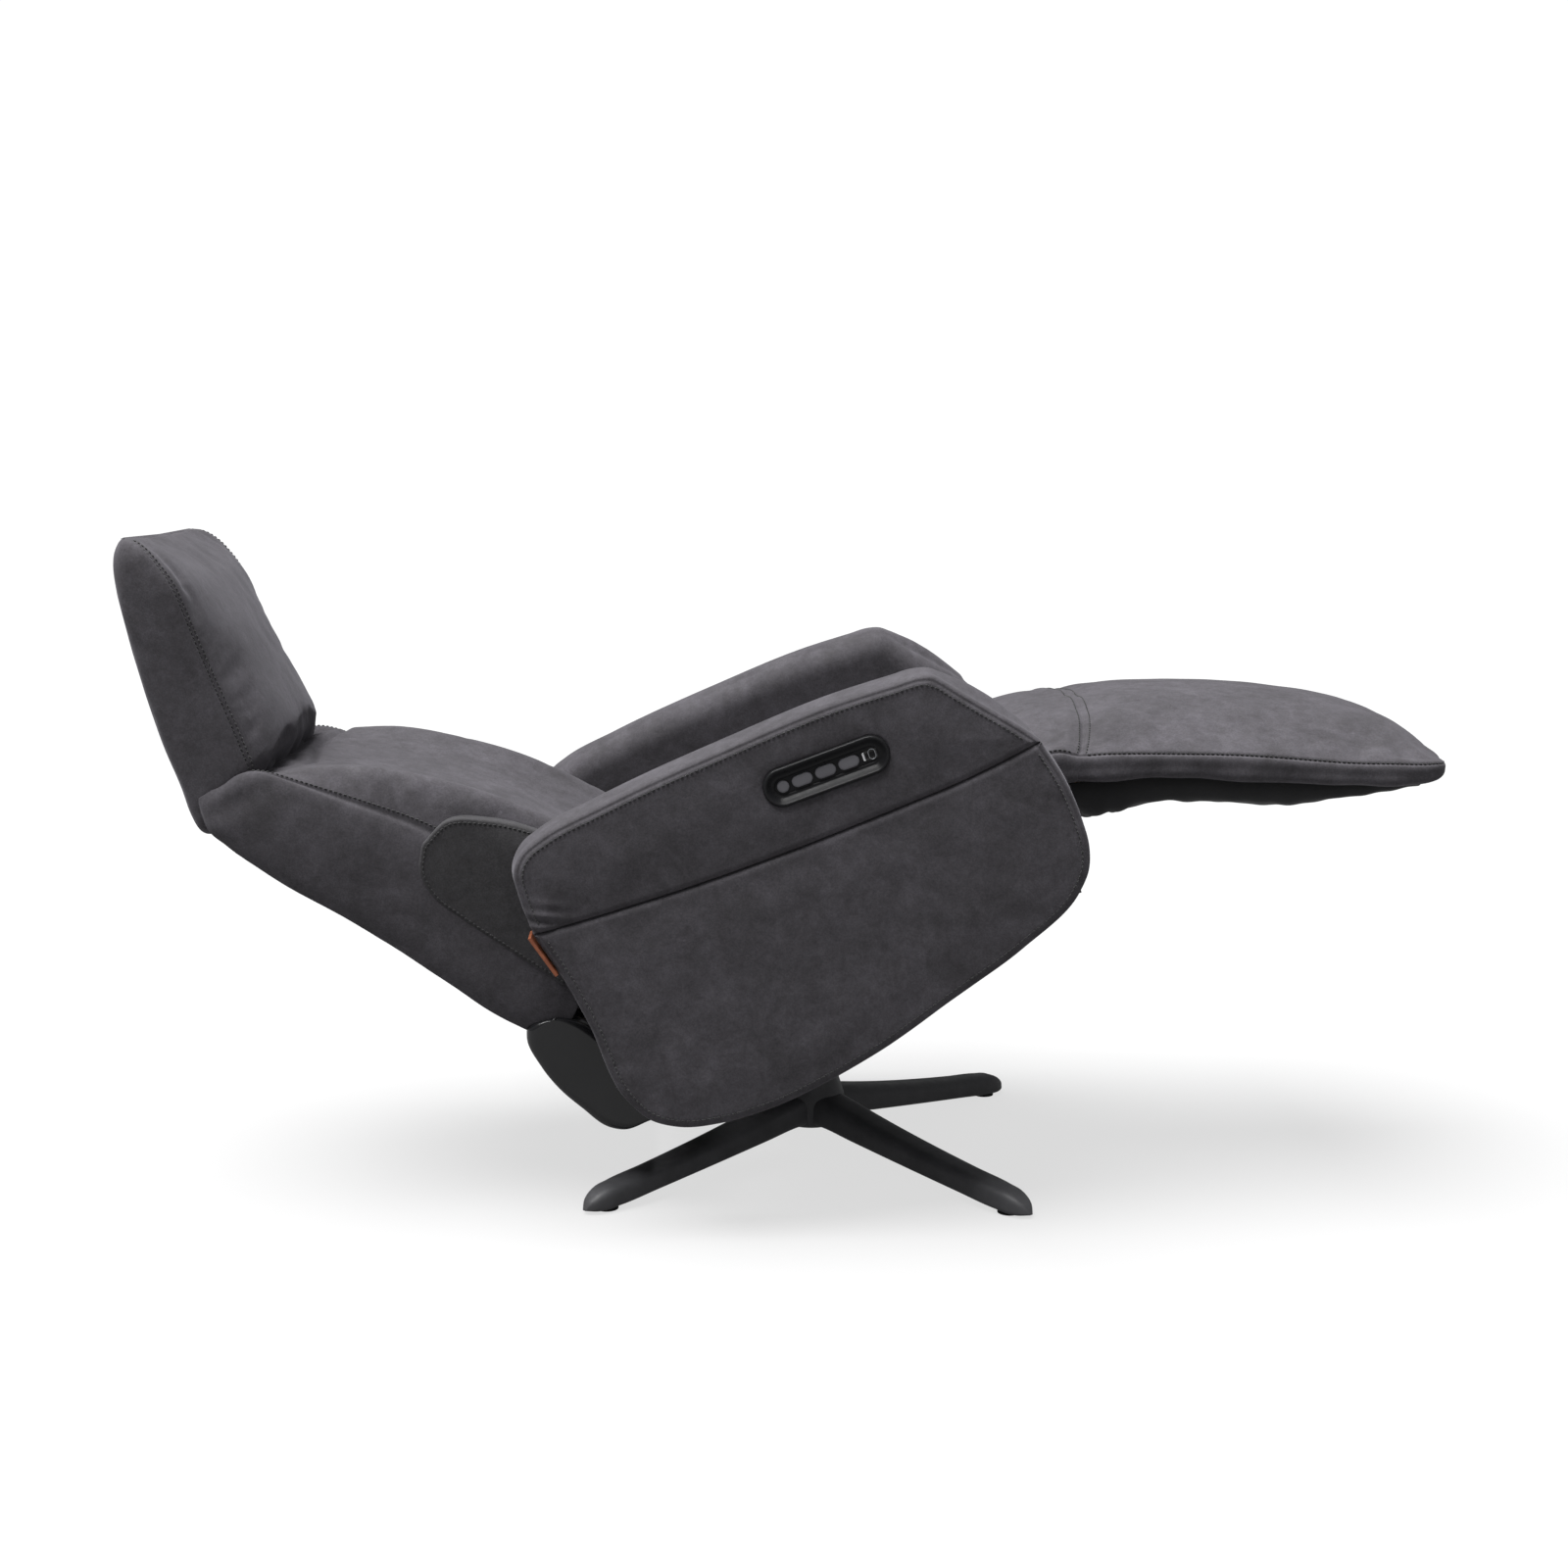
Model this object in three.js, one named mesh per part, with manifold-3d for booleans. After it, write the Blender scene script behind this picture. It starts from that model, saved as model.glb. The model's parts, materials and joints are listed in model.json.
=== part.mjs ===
// Power recliner armchair on a four-arm swivel base, in its relaxed position.
// Millimetres, +X to the front, +Y to the sitter's left, +Z up. The origin is on the floor,
// under the middle of the chair's bounding box. The seat, backrest, headrest and leg rest are
// each drawn in a frame of their own, whose origin is the pivot that the body turns about.
import * as THREE from 'three';
import { mergeVertices } from 'three/addons/utils/BufferGeometryUtils.js';
import Module from 'manifold-3d';

const wasm = await Module();
wasm.setup();

// ---- driving dimensions ----------------------------------------------------------------
const GAP = 0.3;                 // air between two pieces that touch
const RUN = 0.4;                 // air round a pivot pin
const SWIVEL_X = 41;             // the swivel axis, ahead of the origin
const TILT_X = 50;               // the tilt pivot, ahead of the swivel axis
const TILT_Z = 270;              // height of the tilt pivot
const SEAT_TILT = 20;            // degrees that the seat body leans back
const BACK_ANGLE = 37.5;         // degrees from the seat frame to the backrest frame
const HEAD_ANGLE = 39.5;         // degrees that the headrest is flexed forward
const LEG_ANGLE = 23;            // degrees from the seat frame down to the leg rest
const RECLINE_TRAVEL = 27;       // degrees of backrest travel
const LEG_TRAVEL = 52;           // degrees of leg rest travel
const HIP = [-253, 122];         // recline pivot in the seat frame
const KNEE = [300, 150];         // leg rest pivot in the seat frame
const NECK = [-109, 529];        // headrest pivot in the backrest frame

const ARM_OUT = 350;             // half the overall width
const ARM_IN = 250;              // inner face of each arm
const CUSHION_HALF = 246;        // half the seat cushion's width
const BACK_HALF = 232;           // half the backrest's width
const HEAD_HALF = 212;           // half the headrest's width
const LEG_HALF = 240;            // half the leg rest's width

const BASE_RADIUS = 369;         // swivel axis to the tip of a base arm
const BASE_TURN = -4.4;          // degrees that the base is turned under the seat
const COLUMN_R = 32;
const SPINDLE_R = 14;
const COLUMN_TOP = 172;
const PIN_R = 9;                 // tilt pivot pin
const STUD_R = 7;                // recline and leg rest pivot studs
const NECK_STUD_R = 5;
const DRIVE_PIN_R = 5;           // pin in the fork of an actuator rod
const RECLINE_LEVER_R = 80;      // radius of the recline lever
const LEG_ROD_DROP = 74;         // the leg rest rod's line, below the knee pivot
const LEG_LEVER_Y = 60;          // the leg rest drive stands beside the middle

const DEG = Math.PI / 180;

// ---- finishes --------------------------------------------------------------------------
const finish = (color, roughness, metalness) =>
  new THREE.MeshStandardMaterial({ color, roughness, metalness });
const FABRIC = finish(0x4a484b, 0.92, 0);
const DARK_FABRIC = finish(0x343336, 0.95, 0);
const GLOSS_BLACK = finish(0x0c0c0d, 0.15, 0);
const BUTTON_GREY = finish(0x6e6e72, 0.4, 0);
const BASE_BLACK = finish(0x1d1d1f, 0.55, 0.4);
const STEEL = finish(0x8d9095, 0.4, 0.9);
const FRAME_STEEL = finish(0x26272a, 0.5, 0.7);
const PLYWOOD = finish(0xc9a877, 0.8, 0);
const NYLON = finish(0xe4e2da, 0.5, 0);
const RUBBER = finish(0x151515, 0.9, 0);
const TAN_LEATHER = finish(0x8a4b2a, 0.6, 0);

// ---- solids ----------------------------------------------------------------------------
const solid = geometry => {
  const bare = geometry.clone();
  bare.deleteAttribute('normal');
  bare.deleteAttribute('uv');
  const merged = mergeVertices(bare, 1e-4);
  return new wasm.Manifold(new wasm.Mesh({
    numProp: 3,
    vertProperties: new Float32Array(merged.attributes.position.array),
    triVerts: new Uint32Array(merged.index.array),
  }));
};

const geometryOf = body => {
  const mesh = body.getMesh();
  const geometry = new THREE.BufferGeometry();
  geometry.setAttribute('position', new THREE.BufferAttribute(mesh.vertProperties, 3));
  geometry.setIndex(new THREE.BufferAttribute(mesh.triVerts, 1));
  geometry.computeVertexNormals();
  return geometry;
};

const join = (...pieces) =>
  geometryOf(pieces.map(solid).reduce((whole, piece) => whole.add(piece)));

const cut = (piece, ...tools) =>
  geometryOf(tools.map(solid).reduce((rest, tool) => rest.subtract(tool), solid(piece)));

const box = (x0, x1, y0, y1, z0, z1) =>
  new THREE.BoxGeometry(x1 - x0, y1 - y0, z1 - z0)
    .translate((x0 + x1) / 2, (y0 + y1) / 2, (z0 + z1) / 2);

// A round bar along Y through (x, z).
const barY = (r, y0, y1, x = 0, z = 0, sides = 24) =>
  new THREE.CylinderGeometry(r, r, y1 - y0, sides).translate(x, (y0 + y1) / 2, z);

// A round bar along Z through (x, y).
const barZ = (r, z0, z1, x = 0, y = 0, sides = 32) =>
  new THREE.CylinderGeometry(r, r, z1 - z0, sides)
    .rotateX(Math.PI / 2).translate(x, y, (z0 + z1) / 2);

// A round bar along X at height z.
const barX = (r, x0, x1, y = 0, z = 0, sides = 24) =>
  new THREE.CylinderGeometry(r, r, x1 - x0, sides)
    .rotateZ(Math.PI / 2).translate((x0 + x1) / 2, y, z);

// A flat piece: an outline in X and Z with a thickness from y0 to y1.
const plate = (outline, y0, y1) => {
  const shape = new THREE.Shape(outline.map(([x, z]) => new THREE.Vector2(x, z)));
  return new THREE.ExtrudeGeometry(shape, { depth: y1 - y0, bevelEnabled: false })
    .rotateX(Math.PI / 2).translate(0, y1, 0);
};

// A flat bar with fully rounded ends: r is half its height.
const slot = (x0, x1, r, y0, y1, z) => {
  const turn = (cx, from) => Array.from({ length: 9 }, (_, i) => {
    const a = from + i * Math.PI / 8;
    return [cx + r * Math.cos(a), z + r * Math.sin(a)];
  });
  return plate([...turn(x1 - r, -Math.PI / 2), ...turn(x0 + r, Math.PI / 2)], y0, y1);
};

// A padded piece: the edge outline at its two sides swells to the middle outline, both listed
// anticlockwise in X and Z with the same number of points.
const padded = (edge, middle, half, power = 2.4, steps = [1, 0.9, 0.7, 0.35]) => {
  const stations = [...steps.map(s => -s), 0, ...[...steps].reverse()].map(s => s * half);
  const count = edge.length;
  const positions = [];
  for (const y of stations) {
    const swell = 1 - Math.abs(y / half) ** power;
    edge.forEach(([x, z], i) => {
      positions.push(x + (middle[i][0] - x) * swell, y, z + (middle[i][1] - z) * swell);
    });
  }
  const index = [];
  for (let s = 0; s < stations.length - 1; s++) {
    for (let i = 0; i < count; i++) {
      const a = s * count + i;
      const b = s * count + (i + 1) % count;
      index.push(a, b + count, b, a, a + count, b + count);
    }
  }
  const flat = edge.map(([x, z]) => new THREE.Vector2(x, z));
  const last = (stations.length - 1) * count;
  for (const [a, b, c] of THREE.ShapeUtils.triangulateShape(flat, [])) {
    index.push(a, b, c, last + a, last + c, last + b);
  }
  const geometry = new THREE.BufferGeometry();
  geometry.setAttribute('position', new THREE.Float32BufferAttribute(positions, 3));
  geometry.setIndex(index);
  geometry.computeVertexNormals();
  return geometry;
};

const add = (group, name, geometry, material) => {
  const mesh = new THREE.Mesh(geometry, material);
  mesh.name = name;
  group.add(mesh);
  return mesh;
};

const SIDES = [['left', 1], ['right', -1]];
// The span of a piece on one side: from inner to outer distance from the middle.
const span = (side, inner, outer) => side > 0 ? [inner, outer] : [-outer, -inner];

const frameAt = (parent, x, z, degrees) => {
  const group = new THREE.Group();
  group.position.set(x, 0, z);
  group.rotation.y = -degrees * DEG;
  parent.add(group);
  return group;
};

const chair = new THREE.Group();
const base = frameAt(chair, SWIVEL_X, 0, 0);
base.rotation.z = BASE_TURN * DEG;
const swivel = frameAt(chair, SWIVEL_X, 0, 0);
const seat = frameAt(chair, SWIVEL_X + TILT_X, TILT_Z, SEAT_TILT);
const back = frameAt(seat, ...HIP, BACK_ANGLE);
const head = frameAt(back, ...NECK, -HEAD_ANGLE);
const leg = frameAt(seat, ...KNEE, -LEG_ANGLE);

// ---- star base -------------------------------------------------------------------------
const HUB_R = 46;
const GLIDE_H = 8;
const GLIDE_R = 14;

const buildBase = () => {
  const hub = join(
    barZ(HUB_R, 40, 86, 0, 0, 40),
    new THREE.CylinderGeometry(COLUMN_R + 6, HUB_R, 14, 40).rotateX(Math.PI / 2)
      .translate(0, 0, 93),
  );
  add(base, 'base_hub', cut(hub, barZ(COLUMN_R + GAP, 52, 110)), BASE_BLACK);

  // One arm, drawn along +X: deep at the hub, slender at the toe, with a rounded tip.
  const side = [[0, 46], [HUB_R, 46], [BASE_RADIUS - 34, 9.5], [BASE_RADIUS - 8, 9.5],
    [BASE_RADIUS, 18], [BASE_RADIUS - 3, 30], [BASE_RADIUS - 16, 38], [BASE_RADIUS - 34, 42],
    [HUB_R, 84], [0, 84]];
  const plan = [[20, -29], [BASE_RADIUS - 30, -20], [BASE_RADIUS - 12, -17],
    [BASE_RADIUS, -8], [BASE_RADIUS, 8], [BASE_RADIUS - 12, 17], [BASE_RADIUS - 30, 20],
    [20, 29]];
  const planShape = new THREE.Shape(plan.map(([x, y]) => new THREE.Vector2(x, y)));
  const upright = new THREE.ExtrudeGeometry(planShape, { depth: 120, bevelEnabled: false });
  const arm = geometryOf(solid(plate(side, -40, 40)).intersect(solid(upright))
    .subtract(solid(barZ(HUB_R + GAP, 0, 120, 0, 0, 40))));
  for (let i = 0; i < 4; i++) {
    const turn = 45 * DEG + i * Math.PI / 2;
    const mesh = add(base, `base_arm_${i + 1}`, arm, BASE_BLACK);
    mesh.rotation.z = turn;
    const glide = add(base, `foot_glide_${i + 1}`, barZ(GLIDE_R, 0, GLIDE_H, 0, 0, 20), RUBBER);
    const reach = BASE_RADIUS - 24;
    glide.position.set(reach * Math.cos(turn), reach * Math.sin(turn), 0);
  }
  add(base, 'base_column', cut(barZ(COLUMN_R, 52 + GAP, COLUMN_TOP),
    barZ(COLUMN_R - 7, 60, COLUMN_TOP + 1)), BASE_BLACK);
  add(base, 'column_bush', cut(barZ(COLUMN_R - 7 - GAP, 60 + GAP, COLUMN_TOP - 2),
    barZ(SPINDLE_R + GAP, 50, COLUMN_TOP)), NYLON);
};

// ---- actuators -------------------------------------------------------------------------
// A rod along +X whose fork holds a drive pin at the origin; it runs back for its length.
const forkedRod = length => join(
  barX(7, -length, -22),
  box(-28, -20, -12, 12, -8, 8),
  box(-21, 8, -12, -6.5, -8, 8),
  box(-21, 8, 6.5, 12, -8, 8),
  barY(DRIVE_PIN_R, -12, 12),
);

// The housing that a rod slides in: a bored barrel from x0 back to x1, and its motor.
const housing = (x0, x1, motor) => {
  const barrel = join(barX(17, x1, x0), box(x1 - motor, x1 + 6, -19, 19, -19, 19));
  return cut(barrel, barX(7 + RUN, x1 + 6, x0 + 1));
};

// ---- swivel yoke and tilt drive --------------------------------------------------------
// The ears rise forward from a short plate on the spindle, so the arms hide them.
const EAR_IN = 66;
const EAR_OUT = 74;
const YOKE_LOW = 186;
const YOKE_HIGH = 194;

const buildSwivel = () => {
  add(swivel, 'swivel_spindle', barZ(SPINDLE_R, 64, YOKE_LOW - GAP), STEEL);
  const ear = [[-72, YOKE_HIGH - 4], [12, YOKE_HIGH - 4], [72, 250], [74, 276], [64, 290],
    [40, 290], [20, 276], [-72, 206]];
  const ears = SIDES.map(([, side]) => plate(ear, ...span(side, EAR_IN, EAR_OUT)));
  const yoke = join(box(-72, 12, -EAR_OUT, EAR_OUT, YOKE_LOW, YOKE_HIGH), ...ears);
  add(swivel, 'swivel_yoke', cut(yoke, barY(PIN_R + RUN, -90, 90, TILT_X, TILT_Z)),
    FRAME_STEEL);
  const barrel = join(barY(26, -EAR_IN + GAP, EAR_IN - GAP, TILT_X, TILT_Z, 32),
    barY(20, -EAR_IN + 8, EAR_IN - 8, TILT_X - 31, TILT_Z - 25));
  add(swivel, 'tilt_gearmotor', cut(barrel, barY(PIN_R + RUN, -90, 90, TILT_X, TILT_Z)),
    GLOSS_BLACK);
};

// ---- seat frame ------------------------------------------------------------------------
const RAIL_IN = 222;
const RAIL_OUT = 228;
const RAIL_LOW = 20;
const RAIL_TOP = 95;
const LINK_IN = 206;             // hinge arms of backrest and leg rest, inside the rails
const LINK_OUT = 212;
const FRONT_TUBE = [225, 250, 22, 50];
const REAR_TUBE = [-232, -206, 66, 94];
const TUBE_WALL = 4;

const crossBar = ([x0, x1, z0, z1], grow = 0, half = ARM_IN - GAP) =>
  box(x0 - grow, x1 + grow, -half, half, z0 - grow, z1 + grow);
const crossTube = at => cut(crossBar(at), crossBar(at, -TUBE_WALL, ARM_IN));

const buildSeatFrame = () => {
  for (const [name, side] of SIDES) {
    const [y0, y1] = span(side, RAIL_IN, RAIL_OUT);
    const [s0, s1] = span(side, LINK_IN - 0.5, RAIL_OUT - 1);
    const rail = join(
      box(-276, 286, y0, y1, RAIL_LOW, RAIL_TOP),
      plate([[-276, 90], [-230, 90], [-235, HIP[1]], [HIP[0] + 9, 138], [HIP[0] - 9, 138],
        [-271, HIP[1]]], y0, y1),
      plate([[246, 90], [286, 90], [316, 146], [309, 163], [292, 166], [282, 156]], y0, y1),
      barY(STUD_R, s0, s1, ...HIP),
      barY(STUD_R, s0, s1, ...KNEE),
    );
    add(seat, `side_rail_${name}`, cut(rail, crossBar(FRONT_TUBE, GAP, 260),
      crossBar(REAR_TUBE, GAP, 260)), FRAME_STEEL);
  }
  add(seat, 'front_cross_tube', crossTube(FRONT_TUBE), FRAME_STEEL);
  add(seat, 'rear_cross_tube', crossTube(REAR_TUBE), FRAME_STEEL);

  const lugs = SIDES.map(([, side]) =>
    plate([[-14, -10], [14, -10], [18, 64], [-18, 64]], ...span(side, 82, 90)));
  const beam = join(box(-20, 20, -RAIL_IN + GAP, RAIL_IN - GAP, 60, RAIL_TOP), ...lugs);
  add(seat, 'tilt_beam', cut(beam, barY(PIN_R + GAP, -110, 110)), FRAME_STEEL);
  add(seat, 'tilt_pivot_pin', barY(PIN_R, -100, 100), STEEL);
  add(seat, 'seat_webbing', box(-196, 240, -RAIL_IN + 6, RAIL_IN - 6, 96, 100), DARK_FABRIC);
};

// ---- recline and leg rest drives, hung in the seat frame -------------------------------
const buildSeatDrives = () => {
  const half = RECLINE_TRAVEL / 2 * DEG;
  const recline = frameAt(seat, HIP[0] + RECLINE_LEVER_R * Math.sin(half),
    HIP[1] - RECLINE_LEVER_R * Math.cos(half), 180);
  add(recline, 'recline_rod', forkedRod(112), STEEL);
  add(recline, 'recline_actuator', housing(-32, -126, 48), GLOSS_BLACK);

  const reach = LEG_ROD_DROP * Math.tan(LEG_TRAVEL / 2 * DEG);
  const lift = frameAt(seat, KNEE[0] + reach, KNEE[1] - LEG_ROD_DROP, 0);
  lift.position.y = LEG_LEVER_Y;
  add(lift, 'legrest_rod', forkedRod(138), STEEL);
  add(lift, 'legrest_actuator', housing(-2 * reach - 32, -2 * reach - 150, 48), GLOSS_BLACK);
};

// ---- seat cushion ----------------------------------------------------------------------
const buildSeatCushion = () => {
  const under = [[-160, 103], [245, 103], [284, 141]];
  const edge = [...under, [299, 153.5], [334.5, 181.5], [300, 200], [200, 186], [0, 160],
    [-150, 160]];
  const middle = [...under, [299, 153.5], [377, 219.5], [300, 246], [200, 224], [0, 176],
    [-150, 170]];
  const slots = SIDES.map(([, side]) => box(236, 360, ...span(side, 201, 231), 90, 172));
  add(seat, 'seat_cushion', cut(padded(edge, middle, CUSHION_HALF), ...slots), FABRIC);
};

// ---- arms ------------------------------------------------------------------------------
const GROOVE = [[286, 231], [87, 215], [-90, 212], [-330, 223]];
const ARM_UNDER = [[-257, -44], [-208, -58], [-155, -63], [-55, -52], [-4, -42], [189, 13],
  [272, 54], [290, 76], [297, 97], [299, 126], [295, 182]];
const ARM_CROWN = [[198, 346], [187, 352], [87, 360], [-46, 358], [-210, 345], [-293, 333],
  [-318, 324], [-329, 308], [-331, 272]];
const ARM_REAR = [[-316, 163], [-308, 105], [-297, 0], [-282, -24]];
const PANEL = { x: 46, z: 285, half: 74, r: 21.5 };

const lower = (outline, by) => outline.map(([x, z]) => [x, z - by]);

const buildArms = () => {
  const whole = [...ARM_UNDER, GROOVE[0], ...ARM_CROWN, GROOVE[3], ...ARM_REAR];
  const below = [...ARM_UNDER, ...GROOVE, ...ARM_REAR];
  const above = [...[...GROOVE].reverse().map(([x, z]) => [x, z + GAP]),
    ...lower(ARM_CROWN, 9)];
  for (const [name, side] of SIDES) {
    add(seat, `arm_inner_pad_${name}`, plate(whole, ...span(side, ARM_IN, 291)), FABRIC);
    const board = whole.map(([x, z]) => [x * 0.94, 150 + (z - 150) * 0.92]);
    add(seat, `arm_board_${name}`, plate(board, ...span(side, 291.3, 306)), PLYWOOD);
    add(seat, `arm_lower_pad_${name}`, plate(below, ...span(side, 306.3, ARM_OUT)), FABRIC);
    const upper = plate(above, ...span(side, 306.3, ARM_OUT));
    const pocket = slot(PANEL.x - PANEL.half - GAP, PANEL.x + PANEL.half + GAP,
      PANEL.r + GAP, -ARM_OUT - 10, -ARM_OUT + 24, PANEL.z);
    add(seat, `arm_upper_pad_${name}`, side < 0 ? cut(upper, pocket) : upper, FABRIC);
  }
  // The maker's leather tab, folded round the rear edge of the right arm at the groove.
  const tab = [[-320.5, 171], [-334, 222], [-337.5, 222], [-324, 170]];
  add(seat, 'leather_tab', plate(tab, -ARM_OUT + 2, -ARM_OUT + 44), TAN_LEATHER);
};

// ---- rear cover ------------------------------------------------------------------------
const buildRearCover = () => {
  const half = 236;
  const skin = [[-366, 100], [-390, 99], [-395, 90], [-386, 50], [-358, -10], [-334, -50],
    [-326, -56], [-305, -56], [-305, -51], [-325, -51], [-353, -8], [-381, 52], [-389, 90],
    [-386, 94], [-366, 95]];
  const cheek = [[-366, 100], [-390, 99], [-395, 90], [-386, 50], [-358, -10], [-334, -50],
    [-326, -56], [-305, -56], [-310, 0], [-322, 40], [-340, 76]];
  add(seat, 'rear_cover', join(plate(skin, -half, half), plate(cheek, half - 5, half),
    plate(cheek, -half, 5 - half)), GLOSS_BLACK);
};

// ---- controls on the right arm ---------------------------------------------------------
const FACE = -ARM_OUT;           // outer face of the right arm
const BUTTON_X = [-10, 14, 45, 76];
const BUTTON_HALF = 13.5;
const BUTTON_R = 7;
const POWER_R = 8.5;
const USB_X = 99;
const USB_HALF = [8, 5.5];

const buildControls = () => {
  const { x, z, half, r } = PANEL;
  const [uw, uh] = USB_HALF;
  const rim = slot(x - half, x + half, r, FACE - 2, FACE + 18, z);
  const well = slot(x - half + 6, x + half - 6, r - 6, FACE - 4, FACE + 20, z);
  add(seat, 'control_bezel', cut(rim, well), GLOSS_BLACK);
  const plateBody = slot(x - half + 6 + GAP, x + half - 6 - GAP, r - 6 - GAP, FACE + 6,
    FACE + 12, z);
  const holes = [barY(POWER_R + 0.8, FACE, FACE + 20, BUTTON_X[0], z),
    ...BUTTON_X.slice(1).map(bx => slot(bx - BUTTON_HALF - 0.8, bx + BUTTON_HALF + 0.8,
      BUTTON_R + 0.8, FACE, FACE + 20, z)),
    box(USB_X - uw - GAP, USB_X + uw + GAP, FACE, FACE + 20, z - uh - GAP, z + uh + GAP)];
  add(seat, 'control_plate', cut(plateBody, ...holes), GLOSS_BLACK);
  add(seat, 'power_button', barY(POWER_R, FACE + 3, FACE + 14, BUTTON_X[0], z), BUTTON_GREY);
  BUTTON_X.slice(1).forEach((bx, i) => add(seat, `rocker_${i + 1}`,
    slot(bx - BUTTON_HALF, bx + BUTTON_HALF, BUTTON_R, FACE + 3, FACE + 14, z), BUTTON_GREY));
  add(seat, 'usb_socket', cut(
    box(USB_X - uw, USB_X + uw, FACE + 5, FACE + 14, z - uh, z + uh),
    box(USB_X - 6.2, USB_X + 6.2, FACE, FACE + 12, z - 2.8, z + 2.8)), GLOSS_BLACK);
};

// ---- backrest --------------------------------------------------------------------------
const CREST = [[98, 80], [96, 139], [81, 241], [57, 321], [22, 408], [-6, 468], [-32, 494]];
const BOARD_REAR = -100;
const BOARD_FRONT = -88;

const buildBack = () => {
  const leverAt = [RECLINE_LEVER_R * Math.sin((RECLINE_TRAVEL / 2 - BACK_ANGLE) * DEG),
    -RECLINE_LEVER_R * Math.cos((RECLINE_TRAVEL / 2 - BACK_ANGLE) * DEG)];
  const [lx, lz] = leverAt;
  const lever = plate([[BOARD_REAR, 66], [BOARD_FRONT - 0.5, 66], [BOARD_FRONT - 0.5, 26],
    [lx + 13, lz + 5], [lx + 7, lz - 10], [lx - 9, lz - 9], [BOARD_REAR, 20]], -4, 4);
  const arms = SIDES.map(([, side]) => plate([[16, -8], [18, 8], [8, 18], [-80, 150],
    [BOARD_REAR, 150], [BOARD_REAR, 96], [-16, -8], [0, -18]], ...span(side, LINK_IN, LINK_OUT)));
  const [nx, nz] = NECK;
  const ears = SIDES.map(([, side]) => plate([[BOARD_REAR, 470], [BOARD_FRONT, 470],
    [BOARD_FRONT, nz - 22], [nx + 9, nz + 1], [nx + 5, nz + 8], [nx - 5, nz + 8],
    [nx - 9, nz], [nx - 3, nz - 11], [BOARD_REAR, nz - 22]], ...span(side, 157, 163)));
  const studs = SIDES.map(([, side]) => barY(NECK_STUD_R, ...span(side, 148, 162), ...NECK));
  const board = join(
    box(BOARD_REAR, BOARD_FRONT, -195, 195, 62, 505),
    box(BOARD_REAR, BOARD_FRONT, -LINK_OUT, LINK_OUT, 98, 148),
    lever, ...arms, ...ears, ...studs);
  const hipHoles = SIDES.map(([, side]) =>
    barY(STUD_R + RUN, ...span(side, LINK_IN - 1, LINK_OUT + 1)));
  add(back, 'back_frame', cut(board, barY(DRIVE_PIN_R + 2.8, -10, 10, lx, lz), ...hipHoles),
    PLYWOOD);

  const foot = [[BOARD_FRONT + 0.5, 30], [-4, -24], [50, -20], [84, 6]];
  const top = [[BOARD_FRONT + 0.5, 514]];
  add(back, 'back_cushion', padded([...foot, ...CREST, ...top],
    [...foot, ...CREST.map(([x, z]) => [x - 14, z]), ...top], 205), FABRIC);
  const rear = [[BOARD_REAR - GAP, 505], [-112, 505], [-126, 483], [-131, 398], [-127, 308],
    [-128, 199], [-131, 80], [BOARD_REAR - GAP, 66]];
  add(back, 'back_rear_pad', plate(rear, -BACK_HALF + 4, BACK_HALF - 4), FABRIC);

  const sideOutline = [[BOARD_FRONT + 4, 160], [-60, 60], [20, 36], [84, 40], ...CREST,
    [-84, 512]];
  const wing = [[-58, 72], [88, 76], [90, 150], [78, 220], [58, 262], [28, 284], [-8, 286],
    [-36, 272], [-52, 240]];
  for (const [name, side] of SIDES) {
    add(back, `back_side_pad_${name}`, plate(sideOutline, ...span(side, 213, BACK_HALF)),
      FABRIC);
    add(back, `back_wing_${name}`, plate(wing, ...span(side, BACK_HALF + GAP,
      BACK_HALF + 6)), DARK_FABRIC);
  }
};

// ---- headrest --------------------------------------------------------------------------
const buildHead = () => {
  const arms = SIDES.map(([, side]) => plate([[-9, 0], [0, -9], [9, -5], [22, 12], [22, 44],
    [14, 44], [14, 17], [-5, 9]], ...span(side, 150, 156)));
  const holes = SIDES.map(([, side]) => barY(NECK_STUD_R + RUN, ...span(side, 149, 157)));
  const board = join(box(14, 22, -180, 180, 16, 296), ...arms);
  add(head, 'headrest_board', cut(board, ...holes), PLYWOOD);
  const frontEdge = [[22.3, 20], [70, 40], [62, 183], [57, 300], [50, 326], [22.3, 332]];
  const frontMiddle = [[22.3, 20], [84, 44], [80, 183], [66, 278], [50, 304], [22.3, 308]];
  add(head, 'headrest_front_pad', padded(frontEdge, frontMiddle, HEAD_HALF), FABRIC);
  const rear = [[13.7, 20], [13.7, 330], [6, 318], [-3, 275], [-9, 205], [-14, 110],
    [-11, 24]];
  add(head, 'headrest_rear_pad', plate(rear, -HEAD_HALF + 4, HEAD_HALF - 4), FABRIC);
};

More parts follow.
